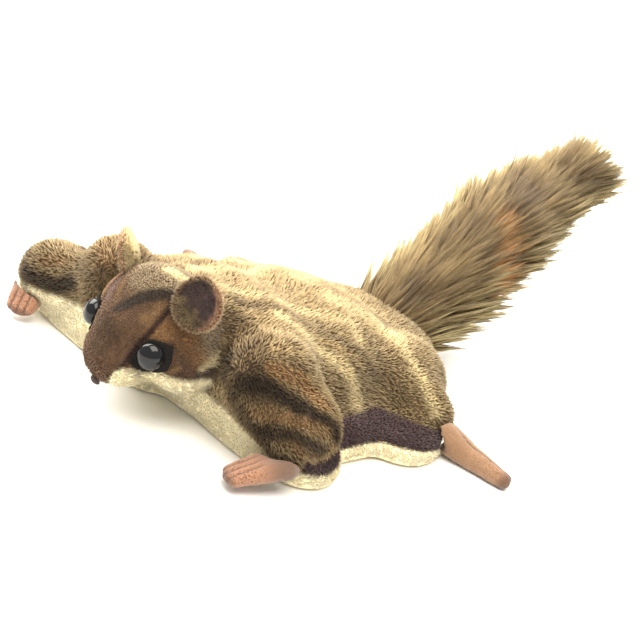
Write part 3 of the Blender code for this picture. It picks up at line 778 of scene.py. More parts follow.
def makeTuftTree():
    # Sets tufts out over a skin, along its lie, with the skin's colours carried to each tuft
    tree = bpy.data.node_groups.new("setOutTufts", "GeometryNodeTree")
    face = tree.interface
    face.new_socket("Geometry", in_out="INPUT", socket_type="NodeSocketGeometry")
    defaults = (
        ("Tufts", "NodeSocketCollection", None), ("Pile", "NodeSocketMaterial", None),
        ("Density", "NodeSocketFloat", 5e5), ("Length", "NodeSocketFloat", 1.0),
        ("Height", "NodeSocketFloat", 1.0), ("Width", "NodeSocketFloat", 0.001),
        ("Ruffle", "NodeSocketFloat", 0.3), ("Patch", "NodeSocketFloat", 0.003), ("Seed", "NodeSocketInt", 1),
    )
    for label, kind, value in defaults:
        socket = face.new_socket(label, in_out="INPUT", socket_type=kind)
        if value is not None:
            socket.default_value = value
    face.new_socket("Geometry", in_out="OUTPUT", socket_type="NodeSocketGeometry")
    source = addNode(tree, "NodeGroupInput")
    sink = addNode(tree, "NodeGroupOutput")
    link = tree.links.new

    def named(name, kind):
        node = addNode(tree, "GeometryNodeInputNamedAttribute", data_type=kind)
        node.inputs["Name"].default_value = name
        return node.outputs["Attribute"]

    def chanceNode(kind, low, high, seed):
        node = addNode(tree, "FunctionNodeRandomValue", data_type=kind)
        live = [socket for socket in node.inputs if socket.enabled]
        for socket, value in zip(live, (low, high)):
            if isinstance(value, bpy.types.NodeSocket):
                link(value, socket)
            else:
                socket.default_value = value
        shifted = maths(tree, "ADD", source.outputs["Seed"], seed)
        link(shifted, node.inputs["Seed"])
        return [socket for socket in node.outputs if socket.enabled][0]

    spread = addNode(tree, "GeometryNodeDistributePointsOnFaces")
    link(source.outputs["Geometry"], spread.inputs["Mesh"])
    thick = maths(tree, "MULTIPLY", source.outputs["Density"], named("thick", "FLOAT"))
    link(thick, spread.inputs["Density"])
    link(source.outputs["Seed"], spread.inputs["Seed"])

    upright = addNode(tree, "FunctionNodeAlignRotationToVector", axis="Z")
    link(spread.outputs["Normal"], upright.inputs["Vector"])
    laid = addNode(tree, "FunctionNodeAlignRotationToVector", axis="X", pivot_axis="Z")
    link(upright.outputs["Rotation"], laid.inputs["Rotation"])
    link(named("lie", "FLOAT_VECTOR"), laid.inputs["Vector"])
    low = addNode(tree, "ShaderNodeCombineXYZ")
    high = addNode(tree, "ShaderNodeCombineXYZ")
    down = maths(tree, "MULTIPLY", source.outputs["Ruffle"], -1.0)
    for axis, share in (("X", 0.5), ("Y", 0.6), ("Z", 1.0)):
        link(maths(tree, "MULTIPLY", down, share), low.inputs[axis])
        link(maths(tree, "MULTIPLY", source.outputs["Ruffle"], share), high.inputs[axis])
    wild = chanceNode("FLOAT_VECTOR", low.outputs["Vector"], high.outputs["Vector"], 11)
    wildTurn = addNode(tree, "FunctionNodeEulerToRotation")
    link(wild, wildTurn.inputs["Euler"])
    turned = addNode(tree, "FunctionNodeRotateRotation", rotation_space="LOCAL")
    link(laid.outputs["Rotation"], turned.inputs["Rotation"])
    link(wildTurn.outputs["Rotation"], turned.inputs["Rotate By"])

    deep = named("pile", "FLOAT")
    reach = named("run", "FLOAT")
    size = addNode(tree, "ShaderNodeCombineXYZ")
    swing = chanceNode("FLOAT", 0.8, 1.15, 23)
    link(maths(tree, "MULTIPLY", maths(tree, "MULTIPLY", reach, source.outputs["Length"]), swing), size.inputs["X"])
    link(source.outputs["Width"], size.inputs["Y"])
    link(maths(tree, "MULTIPLY", maths(tree, "MULTIPLY", deep, source.outputs["Height"]), swing), size.inputs["Z"])

    shelf = addNode(tree, "GeometryNodeCollectionInfo")
    shelf.inputs["Separate Children"].default_value = True
    shelf.inputs["Reset Children"].default_value = True
    link(source.outputs["Tufts"], shelf.inputs["Collection"])
    setOut = addNode(tree, "GeometryNodeInstanceOnPoints")
    link(spread.outputs["Points"], setOut.inputs["Points"])
    link(shelf.outputs["Instances"], setOut.inputs["Instance"])
    setOut.inputs["Pick Instance"].default_value = True
    link(chanceNode("INT", 0, 99, 37), setOut.inputs["Instance Index"])
    link(turned.outputs["Rotation"], setOut.inputs["Rotation"])
    link(size.outputs["Vector"], setOut.inputs["Scale"])

    luck = addNode(tree, "GeometryNodeStoreNamedAttribute", data_type="FLOAT", domain="INSTANCE")
    luck.inputs["Name"].default_value = "chance"
    link(setOut.outputs["Instances"], luck.inputs["Geometry"])
    link(chanceNode("FLOAT", 0.0, 1.0, 41), luck.inputs["Value"])
    solid = addNode(tree, "GeometryNodeRealizeInstances")
    link(luck.outputs["Geometry"], solid.inputs["Geometry"])

    # No tuft reaches below the floor
    apart = addNode(tree, "ShaderNodeSeparateXYZ")
    link(addNode(tree, "GeometryNodeInputPosition").outputs["Position"], apart.inputs["Vector"])
    together = addNode(tree, "ShaderNodeCombineXYZ")
    link(apart.outputs["X"], together.inputs["X"])
    link(apart.outputs["Y"], together.inputs["Y"])
    link(maths(tree, "MAXIMUM", apart.outputs["Z"], 0.0001), together.inputs["Z"])
    lifted = addNode(tree, "GeometryNodeSetPosition")
    link(solid.outputs["Geometry"], lifted.inputs["Geometry"])
    link(together.outputs["Vector"], lifted.inputs["Position"])

    patch = addNode(tree, "ShaderNodeVectorMath", operation="SCALE")
    link(named("spot", "FLOAT_VECTOR"), patch.inputs["Vector"])
    link(source.outputs["Patch"], patch.inputs["Scale"])
    spot = addNode(tree, "ShaderNodeVectorMath", operation="ADD")
    link(named("OFBake", "FLOAT_VECTOR"), spot.inputs[0])
    link(patch.outputs["Vector"], spot.inputs[1])
    bake = addNode(tree, "GeometryNodeStoreNamedAttribute", data_type="FLOAT2", domain="CORNER")
    bake.inputs["Name"].default_value = "OFBake"
    link(lifted.outputs["Geometry"], bake.inputs["Geometry"])
    link(spot.outputs["Vector"], [s for s in bake.inputs if s.name == "Value" and s.enabled][0])

    smooth = addNode(tree, "GeometryNodeSetShadeSmooth")
    link(bake.outputs["Geometry"], smooth.inputs["Geometry"])
    dressed = addNode(tree, "GeometryNodeSetMaterial")
    link(smooth.outputs["Geometry"], dressed.inputs["Geometry"])
    link(source.outputs["Pile"], dressed.inputs["Material"])
    link(dressed.outputs["Geometry"], sink.inputs["Geometry"])
    return tree


tuftTree = makeTuftTree()
spareAttributes = ("thick", "lie", "pile", "run", "spot")


def growCoat(name, ground, tufts, thick, values):
    # ground is the skin to grow on, thick its share of the density at each vertex
    carrier = newPiece(name, ground.data.copy())
    store(carrier, "thick", thick, "FLOAT")
    tree = carrier.modifiers.new("tufts", "NODES")
    tree.node_group = tuftTree
    given = {"Tufts": tufts, **values}
    for item in tuftTree.interface.items_tree:
        if item.in_out == "INPUT" and item.name in given:
            tree[item.identifier] = given[item.name]
    applyModifiers(carrier)
    for spare in spareAttributes:
        left = carrier.data.attributes.get(spare)
        if left:
            carrier.data.attributes.remove(left)
    print(name, "has", len(carrier.data.polygons), "faces")
    return carrier


bodyTufts = makeTuftSet("bodyTuft", 6, strands=5, rings=1, spread=0.5, gather=0.4, lean=0.9, width=0.36, seed=1)
faceTufts = makeTuftSet("faceTuft", 5, strands=5, rings=1, spread=0.5, gather=0.6, lean=1.0, width=0.4, seed=2)
tailTufts = makeTuftSet("tailTuft", 6, strands=9, rings=2, spread=0.5, gather=0.3, lean=1.0, width=0.13, seed=3)

bodyCoatValues = {"Pile": bodyPile, "Density": 1.0e6, "Length": 0.9, "Height": 0.82, "Width": 0.0010,
                  "Ruffle": 0.42, "Patch": 0.003}
faceCoatValues = {"Pile": facePile, "Density": 1.6e6, "Length": 1.1, "Height": 0.9, "Width": 0.0009,
                  "Ruffle": 0.4, "Patch": 0.003}
creamCoatValues = {"Pile": creamPile, "Density": 9e5, "Length": 1.2, "Height": 0.6, "Width": 0.0015,
                   "Ruffle": 0.3, "Patch": 0.003}


def growBody():
    x, y, z = skinAt.T
    head, cream, trim = (skinZones[key] for key in ("head", "cream", "trim"))
    brown = ~(head | cream | trim)
    under = z < 1.5
    patches = [
        ("coat_back_left", brown & (x >= 0) & (y >= -12), bodyTufts, bodyCoatValues),
        ("coat_back_right", brown & (x < 0) & (y >= -12), bodyTufts, bodyCoatValues),
        ("coat_shoulder_left", brown & (x >= 0) & (y < -12), bodyTufts, bodyCoatValues),
        ("coat_shoulder_right", brown & (x < 0) & (y < -12), bodyTufts, bodyCoatValues),
        ("coat_trim", trim, bodyTufts, {**bodyCoatValues, "Density": 1.1e6, "Width": 0.001}),
        ("coat_face_left", head & ~cream & (x >= 0), faceTufts, faceCoatValues),
        ("coat_face_right", head & ~cream & (x < 0), faceTufts, faceCoatValues),
        ("coat_cream_front", cream & ~under & (y < -30), faceTufts, creamCoatValues),
        ("coat_cream_rear", cream & ~under & (y >= -30), faceTufts, creamCoatValues),
        ("coat_cream_under", cream & under, faceTufts, {**creamCoatValues, "Density": 2.2e5}),
    ]
    slots = {"coat_trim": "plum_plush"}
    coats = []
    for seed, (name, zone, tufts, values) in enumerate(patches):
        coat = growCoat(name, skin, tufts, zone.astype(float), {**values, "Seed": seed + 3})
        cloth = "cream_plush" if "cream" in name else slots.get(name, "brown_plush")
        coats.append((coat, cloth))
    return coats


bodyCoats = growBody()
print("body coat is grown")

# Tail

tailValues = {
    "root": (1, 84, 17), "middle": (-3, 166, 62), "tip": (-5, 244, 98), "halfWidth": 31.0,
    "halfThick": 17.0, "roll": 20.0, "core": 0.46, "coreEnd": 0.86, "stations": 70, "sides": 40,
    "strand": 0.15, "parting": [(-3, 171, 77), (7, 168, 73), (18, 165, 65), (26, 162, 55), (31, 157, 45)],
    "brown": (0.098, 0.060, 0.027), "gold": (0.33, 0.225, 0.095), "tipGold": (0.50, 0.375, 0.165),
    "edgeGold": (0.84, 0.70, 0.33), "amber": (0.50, 0.235, 0.065), "dusk": (0.105, 0.072, 0.045),
}


def tailPoint(t, v=tailValues):
    root, middle, tip = (Vector(v[key]) for key in ("root", "middle", "tip"))
    bend = 2 * middle - (root + tip) / 2
    return root * (1 - t) ** 2 + bend * 2 * t * (1 - t) + tip * t * t


def tailFrame(t, v=tailValues):
    along = (tailPoint(min(t + 0.01, 1.0)) - tailPoint(max(t - 0.01, 0.0))).normalized()
    across = Vector((1, 0, 0))
    across = (across - along * across.dot(along)).normalized()
    across = Matrix.Rotation(math.radians(v["roll"]), 3, along) @ across
    return along, across, across.cross(along)


def tailSwell(t):
    return 0.84 + 0.16 * float(smoothStep(t, 0.0, 0.3)) - 0.42 * float(smoothStep(t, 0.55, 1.05))


def tailSpot(t, angle, share):
    # A place round the tail, where share 1 is the outline of its pile
    along, across, upward = tailFrame(min(max(t, 0.0), 1.0))
    size = tailSwell(t) * share
    offset = across * math.cos(angle) * tailValues["halfWidth"] * size
    return tailPoint(t) + offset + upward * math.sin(angle) * tailValues["halfThick"] * size


def makeTailCore(v):
    # The slim core, with the place that the pile of each vertex reaches out to
    core = bmesh.new()
    reaches = []
    rings = []
    close = (0.8, 0.55, 0.3, 0.08)
    for station in range(v["stations"] + len(close)):
        # the last rings close the round end, where the pile stands out along the tail
        shut = close[station - v["stations"]] if station >= v["stations"] else 1.0
        t = -0.04 + (v["coreEnd"] + 0.04) * min(station / (v["stations"] - 1), 1.0)
        share = v["core"] * (1 - 0.45 * max(t / v["coreEnd"], 0.0) ** 4) * shut
        t += 0.015 * math.sqrt(1 - shut ** 2)
        end = min(t + v["strand"], 1.02)
        ring = []
        for side in range(v["sides"]):
            angle = 2 * math.pi * side / v["sides"]
            right, left = max(math.cos(angle), 0), max(-math.cos(angle), 0)
            full = 1 + 0.2 * left * smoothStep(end, 0.35, 0.6) + 0.25 * smoothStep(end, 0.85, 0.95)
            full -= left * 0.36 * smoothStep(end, 0.88, 1.0)
            full += right * (0.18 * (1 - smoothStep(end, 0.3, 0.55)) - 0.14 * smoothStep(end, 0.58, 0.66))
            ring.append(core.verts.new(tailSpot(t, angle, share) * mm))
            reaches.append((*tailSpot(end, angle, full * shut), angle, end, float(shut < 1)))
        rings.append(ring)
    for near, far in zip(rings, rings[1:]):
        for side in range(v["sides"]):
            after = (side + 1) % v["sides"]
            core.faces.new((near[side], near[after], far[after], far[side]))
    core.faces.new(rings[0])
    core.faces.new(rings[-1])
    bmesh.ops.triangulate(core, faces=core.faces[:])
    bmesh.ops.recalc_face_normals(core, faces=core.faces[:])
    return newPiece("tail_core", meshOf(core, "tail_core")), np.array(reaches)


def dressTail(core, reaches, v):
    at, normals = pointsOf(core) / mm, normalsOf(core)
    outer, angle, end = reaches[:, :3], reaches[:, 3], reaches[:, 4]
    c = {key: np.array(v[key]) for key in ("brown", "gold", "tipGold", "edgeGold", "amber", "dusk")}
    streak = latticeNoise(np.stack([angle * 7, end * 11, end * 0], axis=1), 1.0, 51)
    broad = latticeNoise(outer, 10.0, 52)
    coat = blend(np.tile(c["brown"], (len(at), 1)), c["gold"], np.clip(0.32 + 0.3 * streak + 0.25 * broad, 0, 1))
    # The tail's side edges get pale gold tips: lighter hair there, and partly a painted highlight along the edges
    edge = np.abs(np.cos(angle)) ** 6
    tips = blend(coat, c["tipGold"], np.clip(0.45 + 0.45 * streak + 0.3 * edge, 0, 1))
    tips = blend(tips, c["edgeGold"], np.maximum(0.7 * edge, smoothStep(end, 0.93, 1.0) * 0.6))
    # Painted shade: a darker patch on the tail just past the parting
    shadePastParting = 1 - smoothStep(np.linalg.norm(outer - (-8, 186, 88), axis=1), 8, 20)
    coat, tips = blend(coat, c["dusk"], shadePastParting * 0.8), blend(tips, c["dusk"] * 2, shadePastParting * 0.6)
    parting = bandShare(outer, v["parting"], 4.5, 9.0)
    coat, tips = blend(coat, c["amber"] * 0.8, parting), blend(tips, c["amber"] * 1.25, parting * 0.9)
    swirl = np.stack([latticeNoise(outer, 15.0, 61 + k) for k in range(3)], axis=1)
    reach = outer - at
    reach = reach + swirl * 0.10 * np.linalg.norm(reach, axis=1)[:, None]
    reach *= (1 - 0.22 * parting + 0.08 * latticeNoise(outer, 9.0, 70))[:, None]
    rise = (reach * normals).sum(axis=1)
    flat = reach - normals * rise[:, None]
    store(core, "coat", np.clip(coat, 0, 1), "FLOAT_COLOR")
    store(core, "tips", np.clip(tips, 0, 1), "FLOAT_COLOR")
    store(core, "lie", flat, "FLOAT_VECTOR")
    store(core, "run", np.linalg.norm(flat, axis=1) * mm, "FLOAT")
    store(core, "pile", np.maximum(rise, 2.0) * mm, "FLOAT")


tailCore, tailReaches = makeTailCore(tailValues)
dressTail(tailCore, tailReaches, tailValues)
unwrap(tailCore)
tailCore.data.materials.append(plushBacking)
smoothShaded(tailCore)
tailCoatValues = {"Pile": tailPile, "Density": 3.7e5, "Length": 1.0, "Height": 1.0, "Width": 0.0034,
                  "Ruffle": 0.22, "Patch": 0.003}
tailCuts = (0.0, 0.36, 0.54, 0.74, 2.0)
tailCoats = []
for index, (low, high) in enumerate(zip(tailCuts, tailCuts[1:])):
    bare = (tailReaches[:, 4] < 0.12) | ((tailReaches[:, 4] < 0.2) & (np.sin(tailReaches[:, 3]) < -0.2))
    zone = ((tailReaches[:, 4] >= low) & (tailReaches[:, 4] < high) & ~bare) * (1 + 5 * tailReaches[:, 5])
    name = "tail_pile_" + "abcd"[index]
    tailCoats.append(growCoat(name, tailCore, tailTufts, zone, {**tailCoatValues, "Seed": 60 + index}))
print("tail pile is grown")

# Ears

# The far ear stands lower, flatter and nearly edge-on, as soft ears differ
earValues = {
    "radius": 10.9, "tall": 1.08, "taper": 0.08, "thick": 2.4, "inset": 0.7, "rings": 16, "sides": 56,
    "backPile": 1.6, "rimPile": 2.1, "liningPile": 0.7,
    "left": {"centre": (27.8, -69.1, 63.9), "facing": (0.42, -0.88, 0.2), "cup": 4.0, "lean": -8.0},
    "right": {"centre": (-25.6, -67.0, 61.5), "facing": (-0.74, -0.56, -0.37), "cup": 2.0, "lean": 8.0},
    # farLiningLit is the lining cloth painted lighter, as painted light falling into the far ear
    "lining": (0.062, 0.036, 0.033), "farLiningLit": (0.20, 0.115, 0.095), "rim": (0.50, 0.26, 0.15),
}


def mirrored(values, side):
    return (values[0] * side, values[1], values[2])


def facingMatrix(centre, facing, spin):
    # Local +Z looks along facing and local +Y is as upright as it can be, then spun about facing
    forward = Vector(facing).normalized()
    across = Vector((0, 0, 1)).cross(forward).normalized()
    upward = forward.cross(across)
    turn = Matrix((across, upward, forward)).transposed().to_4x4()
    return Matrix.Translation(Vector(centre) * mm) @ turn @ Matrix.Rotation(spin, 4, "Z")


def makeEar(name, shape, v):
    # The profile runs from the middle of the lining over the rim to the middle of the back
    place = facingMatrix(shape["centre"], shape["facing"], math.radians(shape["lean"]))
    half = (v["thick"] - 2 * v["inset"]) / 2 + 0.25
    reachEdge = 1 - (half + v["inset"]) / v["radius"]
    profile = [(reachEdge * k / v["rings"], 0.0, k / v["rings"]) for k in range(1, v["rings"] + 1)]
    for k in range(1, 6):
        turn = math.pi * k / 6
        profile.append((reachEdge + math.sin(turn) * half / v["radius"], -half * (1 - math.cos(turn)), 1.0))
    profile += [(reachEdge * (1 - k / v["rings"]), -2 * half, 1 - k / v["rings"]) for k in range(v["rings"])]
    ear = bmesh.new()
    facts = []

    def vertexAt(reach, drop, angle, part):
        x, y = math.cos(angle) * reach, math.sin(angle) * reach
        wide = v["radius"] * (1 - v["taper"] * y)
        fold = 1.4 * max(-y, 0) ** 2 * (1 + 0.5 * math.cos(angle * 2))
        spot = Vector((x * wide, y * v["radius"] * v["tall"], shape["cup"] * reach ** 2 + drop + fold))
        facts.append((part, x, y, drop))
        return ear.verts.new(place @ (spot * mm))

    front = vertexAt(0, 0, 0, 0.0)
    loops = [[vertexAt(reach, drop, 2 * math.pi * k / v["sides"], part) for k in range(v["sides"])]
             for reach, drop, part in profile]
    back = vertexAt(0, -2 * half, 0, 0.0)
    for k in range(v["sides"]):
        after = (k + 1) % v["sides"]
        ear.faces.new((front, loops[0][k], loops[0][after]))
        ear.faces.new((back, loops[-1][after], loops[-1][k]))
        for near, far in zip(loops, loops[1:]):
            ear.faces.new((near[k], far[k], far[after], near[after]))
    bmesh.ops.recalc_face_normals(ear, faces=ear.faces)
    piece = newPiece(name, meshOf(ear, name))
    return piece, np.array(facts), place


def dressEar(ear, facts, place, near, v):
    part, x, y, drop = facts.T
    c = {name: np.array(value) for name, value in coatColours.items()}
    at = pointsOf(ear) / mm
    lining = (drop > -0.1) & (part < 0.99)
    grain = latticeNoise(at, 1.6, 71)
    broad = latticeNoise(at, 5.0, 72)
    grizzle = blend(np.tile(c["brown"] * 0.8, (len(at), 1)), c["straw"], np.clip(0.25 + 0.5 * grain, 0, 1))
    # The far ear's back is paler: light fur, and partly painted light on its lit side
    back = blend(grizzle, c["straw"] if near else c["pale"], np.full(len(at), 0.4 if near else 0.8))
    # Painted light: the far ear's lining takes the lighter, lit colour of the same cloth
    inside = np.array(v["lining"] if near else v["farLiningLit"]) * (1 + 0.3 * broad[:, None])
    rimBand = smoothStep(part, 0.72, 0.95)
    rightward = smoothStep(x * 0.9 + y * 0.2, 0.1, 0.7) if near else np.ones(len(at))
    inside = blend(inside, np.array(v["rim"]), 0.85 * rimBand * rightward)
    inside = blend(inside, c["dark"] * 1.4, 0.85 * rimBand * (1 - rightward))
    low = smoothStep(-(y + 0.45 * x) + 0.15 * grain, 0.2, 0.62) * smoothStep(part, 0.05, 0.4) * near
    inside = blend(inside, grizzle, 0.9 * low)
    coat = np.where(lining[:, None], inside, back)
    rim = (part > 0.985).astype(float)
    coat = blend(coat, mix(np.array(v["rim"]), c["dark"], (0.75 * (1 - rightward))[:, None]), 0.8 * rim)
    tips = blend(coat, c["pale"], np.where(lining, 0.05 + 0.5 * low, 0.55))
    tips = blend(tips, c["cream"], 0.75 * rim * rightward)
    turn = np.array(place.to_3x3())
    lie = np.stack([x, y, 0 * x], axis=1) @ turn.T
    lie = np.where(np.linalg.norm(lie, axis=1)[:, None] < 0.05, turn[:, 1], lie)
    pile = mix(np.where(lining, v["liningPile"] + 0.9 * low, v["backPile"]), v["rimPile"], rim) * mm
    store(ear, "coat", np.clip(coat, 0, 1), "FLOAT_COLOR")
    store(ear, "tips", np.clip(tips, 0, 1), "FLOAT_COLOR")
    store(ear, "lie", lie, "FLOAT_VECTOR")
    store(ear, "pile", pile, "FLOAT")
    store(ear, "run", pile, "FLOAT")
    return np.where(lining, 0.5 + 0.5 * low, 1.0)


earTufts = makeTuftSet("earTuft", 3, strands=4, rings=1, spread=0.5, gather=0.6, lean=1.0, width=0.4, seed=4)
earCoatValues = {"Tufts": earTufts, "Pile": facePile, "Density": 3.2e6, "Length": 1.1, "Height": 0.8,
                 "Width": 0.0008, "Ruffle": 0.4, "Patch": 0.003}
ears = []
for word in ("left", "right"):
    ear, facts, place = makeEar("ear_shell_" + word, earValues[word], earValues)
    thick = dressEar(ear, facts, place, word == "left", earValues)
    unwrap(ear)
    ear.data.materials.append(plushBacking)
    smoothShaded(ear)
    coat = growCoat("ear_pile_" + word, ear, earTufts, thick, {**earCoatValues, "Seed": 80 + len(word)})
    ears.append((ear, coat, "ear_" + word))
print("ears are made")

# Eyes on their felt patches

eyeValues = {
    "centre": (21.2, -84.5, 37.4), "facing": (0.72, -0.67, 0.12), "radius": 6.2, "depth": 5.0,
    "patchLift": 0.7, "patchFoot": 1.6, "patchBow": 0.07, "patchSteps": 14,
    "corners": ((-8.6, -4.6), (-1.8, 7.0), (8.6, 6.0), (8.0, -5.6), (-2.4, -8.8)),
}


def makeEyeGloss():
    material, tree, shader = plainMaterial("eyeGloss", 0.05, 0.0, 0.34)
    smear = noiseOf(tree, 350.0, 3.0)
    tree.links.new(maths(tree, "MULTIPLY_ADD", smear, 0.03, 0.02), shader.inputs["Roughness"])
    tree.links.new(mixColour(tree, smear, (0.004, 0.004, 0.005), (0.010, 0.011, 0.012)), shader.inputs["Base Color"])
    return material


def makeFelt():
    material, tree, shader = plainMaterial("blackFelt", 0.95)
    fibre = noiseOf(tree, 1400.0, 4.0)
    tree.links.new(mixColour(tree, fibre, (0.003, 0.003, 0.003), (0.014, 0.012, 0.010)), shader.inputs["Base Color"])
    addBump(tree, shader, fibre, 0.8, 0.0004)
    return material


eyeGloss = makeEyeGloss()
blackFelt = makeFelt()


def makeEye(name, side, v):
    place = facingMatrix(mirrored(v["centre"], side), mirrored(v["facing"], side), 0.0)
    dome = bmesh.new()
    bmesh.ops.create_uvsphere(dome, u_segments=64, v_segments=40, radius=1.0)
    shape = Matrix.Diagonal((v["radius"] * mm, v["radius"] * mm, v["depth"] * mm, 1))
    bmesh.ops.transform(dome, matrix=place @ shape, verts=dome.verts)
    eye = newPiece(name, meshOf(dome, name))
    eye.data.materials.append(eyeGloss)
    return smoothShaded(eye), place


def patchOutline(side, v):
    # The corners joined by sides that bulge a little, with their number of steps
    outline = []
    corners = [Vector((x * side, y)) for x, y in v["corners"]]
    for start, end in zip(corners, corners[1:] + corners[:1]):
        run = end - start
        outward = Vector((-run.y, run.x)) * side
        for index in range(v["patchSteps"]):
            t = index / v["patchSteps"]
            outline.append(start + run * t + outward * math.sin(math.pi * t) * v["patchBow"])
    return outline


def makePatch(name, place, side, v, headSurface):
    # Felt that drapes over the head, thickest in the middle
    forward = (place.to_3x3() @ Vector((0, 0, 1))).normalized()
    outline = patchOutline(side, v)
    rings = 12
    felt = bmesh.new()

    def drop(x, y, lift):
        start = place @ (Vector((x, y, 14)) * mm)
        hit = headSurface.ray_cast(start, -forward)[0]
        return felt.verts.new((hit if hit else place @ (Vector((x, y, -4)) * mm)) + forward * lift * mm)

    profile = [(k / rings, v["patchLift"] * (1 - 0.45 * (k / rings) ** 8)) for k in range(1, rings + 1)]
    profile += [(1.0, 0.1), (0.97, -v["patchFoot"])]
    top = drop(0, 0, v["patchLift"])
    loops = [[drop(spot.x * share, spot.y * share, lift) for spot in outline] for share, lift in profile]
    base = drop(0, 0, -v["patchFoot"])
    for k in range(len(outline)):
        after = (k + 1) % len(outline)
        felt.faces.new((top, loops[0][k], loops[0][after]))
        felt.faces.new((base, loops[-1][after], loops[-1][k]))
        for near, far in zip(loops, loops[1:]):
            felt.faces.new((near[k], far[k], far[after], near[after]))
    bmesh.ops.recalc_face_normals(felt, faces=felt.faces)
    patch = newPiece(name, meshOf(felt, name))
    patch.data.materials.append(blackFelt)
    return smoothShaded(patch)


headSurface = surfaceOf(["head", "jaw"])
eyes = []
for side, word in ((1, "left"), (-1, "right")):
    eye, place = makeEye("eye_dome_" + word, side, eyeValues)
    patch = makePatch("eye_felt_" + word, place, side, eyeValues, headSurface)
    eyes.append((eye, patch, word))
print("eyes are made")

# Paws of suede cloth, with stitched toes

pawValues = {
    "voxel": 0.75, "smoothRounds": 5, "grooveDepth": 0.55, "grooveWidth": 0.8,
    "forepaw_left": {"root": (80, -51, 12), "tip": (72, -74, 5), "halfWidth": 8.0, "grooves": (-0.45, 0.0, 0.45)},
    "forepaw_right": {"root": (-90, -69, 15), "tip": (-85.5, -78.5, 4.5), "halfWidth": 8.5, "grooves": (-0.45, 0.0, 0.45)},
    "hindfoot_left": {"root": (83, 45, 9), "tip": (120, 51.5, 3.6), "halfWidth": 6.0, "grooves": (-0.15,)},
    "hindfoot_right": {"root": (-83, 45, 9), "tip": (-120, 51.5, 3.6), "halfWidth": 6.0, "grooves": (0.15,)},
}


def makeSuede():
    material, tree, shader = plainMaterial("pinkSuede", 0.88, 0.35)
    nap = noiseOf(tree, 1500.0, 4.0)
    fleck = noiseOf(tree, 1500.0, 2.0)
    specks = addNode(tree, "ShaderNodeMapRange", interpolation_type="SMOOTHSTEP")
    tree.links.new(fleck, specks.inputs["Value"])
    specks.inputs["From Min"].default_value = 0.50
    specks.inputs["From Max"].default_value = 0.62
    amount = maths(tree, "MULTIPLY", specks.outputs["Result"], attributeOf(tree, "speckle", "Fac"))
    base = attributeOf(tree, "coat", "Color")
    worn = maths(tree, "MULTIPLY_ADD", nap, 0.5, 0.75)
    base = mixColour(tree, 1.0, base, worn, "MULTIPLY")
    tree.links.new(mixColour(tree, amount, base, (0.13, 0.055, 0.035)), shader.inputs["Base Color"])
    addBump(tree, shader, maths(tree, "ADD", nap, maths(tree, "MULTIPLY", fleck, 0.7)), 0.7, 0.0005)
    return material


pinkSuede = makeSuede()


def makePaw(node, v):
    shape = v[node]
    paw = joinedCopy(node + "_suede", [node])
    remesh = paw.modifiers.new("remesh", "REMESH")
    remesh.mode = "VOXEL"
    remesh.voxel_size = v["voxel"] * mm
    soften = paw.modifiers.new("soften", "SMOOTH")
    soften.factor = 0.5
    soften.iterations = v["smoothRounds"]
    applyModifiers(paw)
    points, normals = pointsOf(paw), normalsOf(paw)
    at = points / mm
    root, tip = np.array(shape["root"], float), np.array(shape["tip"], float)
    run = tip - root
    length = np.linalg.norm(run)
    along = run / length
    across = np.cross(along, (0, 0, 1)) if abs(along[2]) < 0.8 else np.array((1.0, 0, 0))
    across /= np.linalg.norm(across)
    t = (at - root) @ along / length
    c = (at - root) @ across / shape["halfWidth"]
    hind = node.startswith("hind")
    start = 0.15 if hind else 0.3
    groove = np.zeros(len(at))
    for middle in shape["grooves"]:
        line = 1 - smoothStep(np.abs(c - middle) * shape["halfWidth"], 0.15, v["grooveWidth"])
        groove = np.maximum(groove, line * smoothStep(t, start, start + 0.2))
    groove *= smoothStep(normals[:, 2] if abs(along[2]) < 0.8 else -normals[:, 1], -0.35, 0.1)
    lumps = latticeNoise(at, 3.0, 91) * 0.25 + latticeNoise(at, 1.4, 92) * 0.12
    setPoints(paw, points + normals * ((lumps - groove * v["grooveDepth"]) * mm)[:, None])
    low = pointsOf(paw)
    low[:, 2] = np.maximum(low[:, 2], 0.0002)
    setPoints(paw, low)
    pink, grey, dusk = np.array((0.40, 0.205, 0.118)), np.array((0.165, 0.10, 0.068)), np.array((0.085, 0.045, 0.03))
    tan = np.array((0.27, 0.155, 0.085))
    coat = mix(tan if hind else grey, pink if not hind else tan * 1.15, smoothStep(t, 0.1, 0.65)[:, None])
    # Painted shade in the toe grooves; the darker tip below is the paw's own colour
    coat = mix(coat, dusk, (0.75 * groove)[:, None])
    coat = mix(coat, dusk, (0.75 * smoothStep(t + 0.03 * latticeNoise(at, 1.5, 93), 0.9, 1.06))[:, None])
    store(paw, "coat", coat, "FLOAT_COLOR")
    store(paw, "speckle", smoothStep(t, 0.1, 0.7) * (0.55 if hind else 0.9), "FLOAT")
    paw.data.materials.append(pinkSuede)
    return smoothShaded(paw)


paws = [(makePaw(node, pawValues), node) for node in pawValues if node.startswith(("forepaw", "hindfoot"))]
print("paws are made")

# Nose

noseValues = {"centre": (0, -93.5, 16.0), "half": (3.0, 1.8, 1.7), "threads": 11, "threadHalf": 0.35}


def makeThreadMaterial():
    material, tree, shader = plainMaterial("plumThread", 0.6, 0.3)
    twist = noiseOf(tree, 2200.0, 2.0)
    tree.links.new(mixColour(tree, twist, (0.02, 0.010, 0.010), (0.075, 0.038, 0.036)), shader.inputs["Base Color"])
    addBump(tree, shader, twist, 0.5, 0.0002)
    return material


plumThread = makeThreadMaterial()


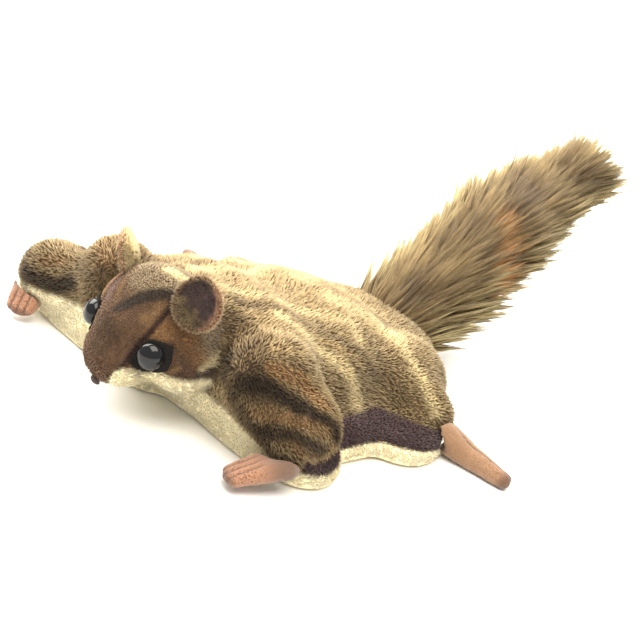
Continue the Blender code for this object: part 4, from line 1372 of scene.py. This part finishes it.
def makeThreads(name, paths, half, material):
    # One closed round thread along each path of points, in millimetres
    threads = bmesh.new()
    for path in paths:
        path = [Vector(p) * mm for p in path]
        loops = []
        for index, spot in enumerate(path):
            ahead = path[min(index + 1, len(path) - 1)] - path[max(index - 1, 0)]
            along = ahead.normalized()
            across = along.orthogonal().normalized()
            upward = along.cross(across)
            size = half * mm * (0.55 if index in (0, len(path) - 1) else 1.0)
            loops.append([threads.verts.new(spot + (across * math.cos(a) + upward * math.sin(a)) * size)
                          for a in (math.pi * k / 4 for k in range(8))])
        for near, far in zip(loops, loops[1:]):
            # the turn of each loop is matched to the one before
            shift = min(range(8), key=lambda k: (far[k].co - near[0].co).length)
            for k in range(8):
                threads.faces.new((near[k], near[(k + 1) % 8], far[(k + 1 + shift) % 8], far[(k + shift) % 8]))
        threads.faces.new(loops[0][::-1])
        threads.faces.new(loops[-1])
    bmesh.ops.recalc_face_normals(threads, faces=threads.faces)
    piece = newPiece(name, meshOf(threads, name))
    piece.data.materials.append(material)
    return smoothShaded(piece)


def makeNose(v):
    centre, half = Vector(v["centre"]), v["half"]
    paths = []
    for index in range(v["threads"]):
        x = (index / (v["threads"] - 1) * 2 - 1) * 0.9
        tall = math.sqrt(1 - x * x)
        path = []
        for step in range(9):
            turn = math.radians(-80 + 160 * step / 8)
            path.append(centre + Vector((x * half[0], -math.cos(turn) * tall * half[1], math.sin(turn) * tall * half[2])))
        paths.append(path)
    return makeThreads("nose_threads", paths, v["threadHalf"], plumThread)


noseThreads = makeNose(noseValues)
print("nose is made")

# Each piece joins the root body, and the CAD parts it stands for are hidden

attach(skin, "root")
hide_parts(*fleshNodes)
for coat, cloth in bodyCoats:
    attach(coat, "root")
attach(tailCore, "root")
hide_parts("tail")
for coat in tailCoats:
    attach(coat, "root")
for ear, coat, node in ears:
    for piece in (ear, coat):
        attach(piece, "root")
    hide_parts(node)
for eye, patch, word in eyes:
    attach(eye, "root")
    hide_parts("eye_" + word)
    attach(patch, "root")
    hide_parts("eye_patch_" + word)
for paw, node in paws:
    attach(paw, "root")
    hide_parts(node)
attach(noseThreads, "root")
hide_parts("nose")

for shelf in list(bpy.data.collections):
    if "Tuft" in shelf.name:
        for tuft in list(shelf.objects):
            discard(tuft)
        bpy.data.collections.remove(shelf)

print("pieces are handed over")
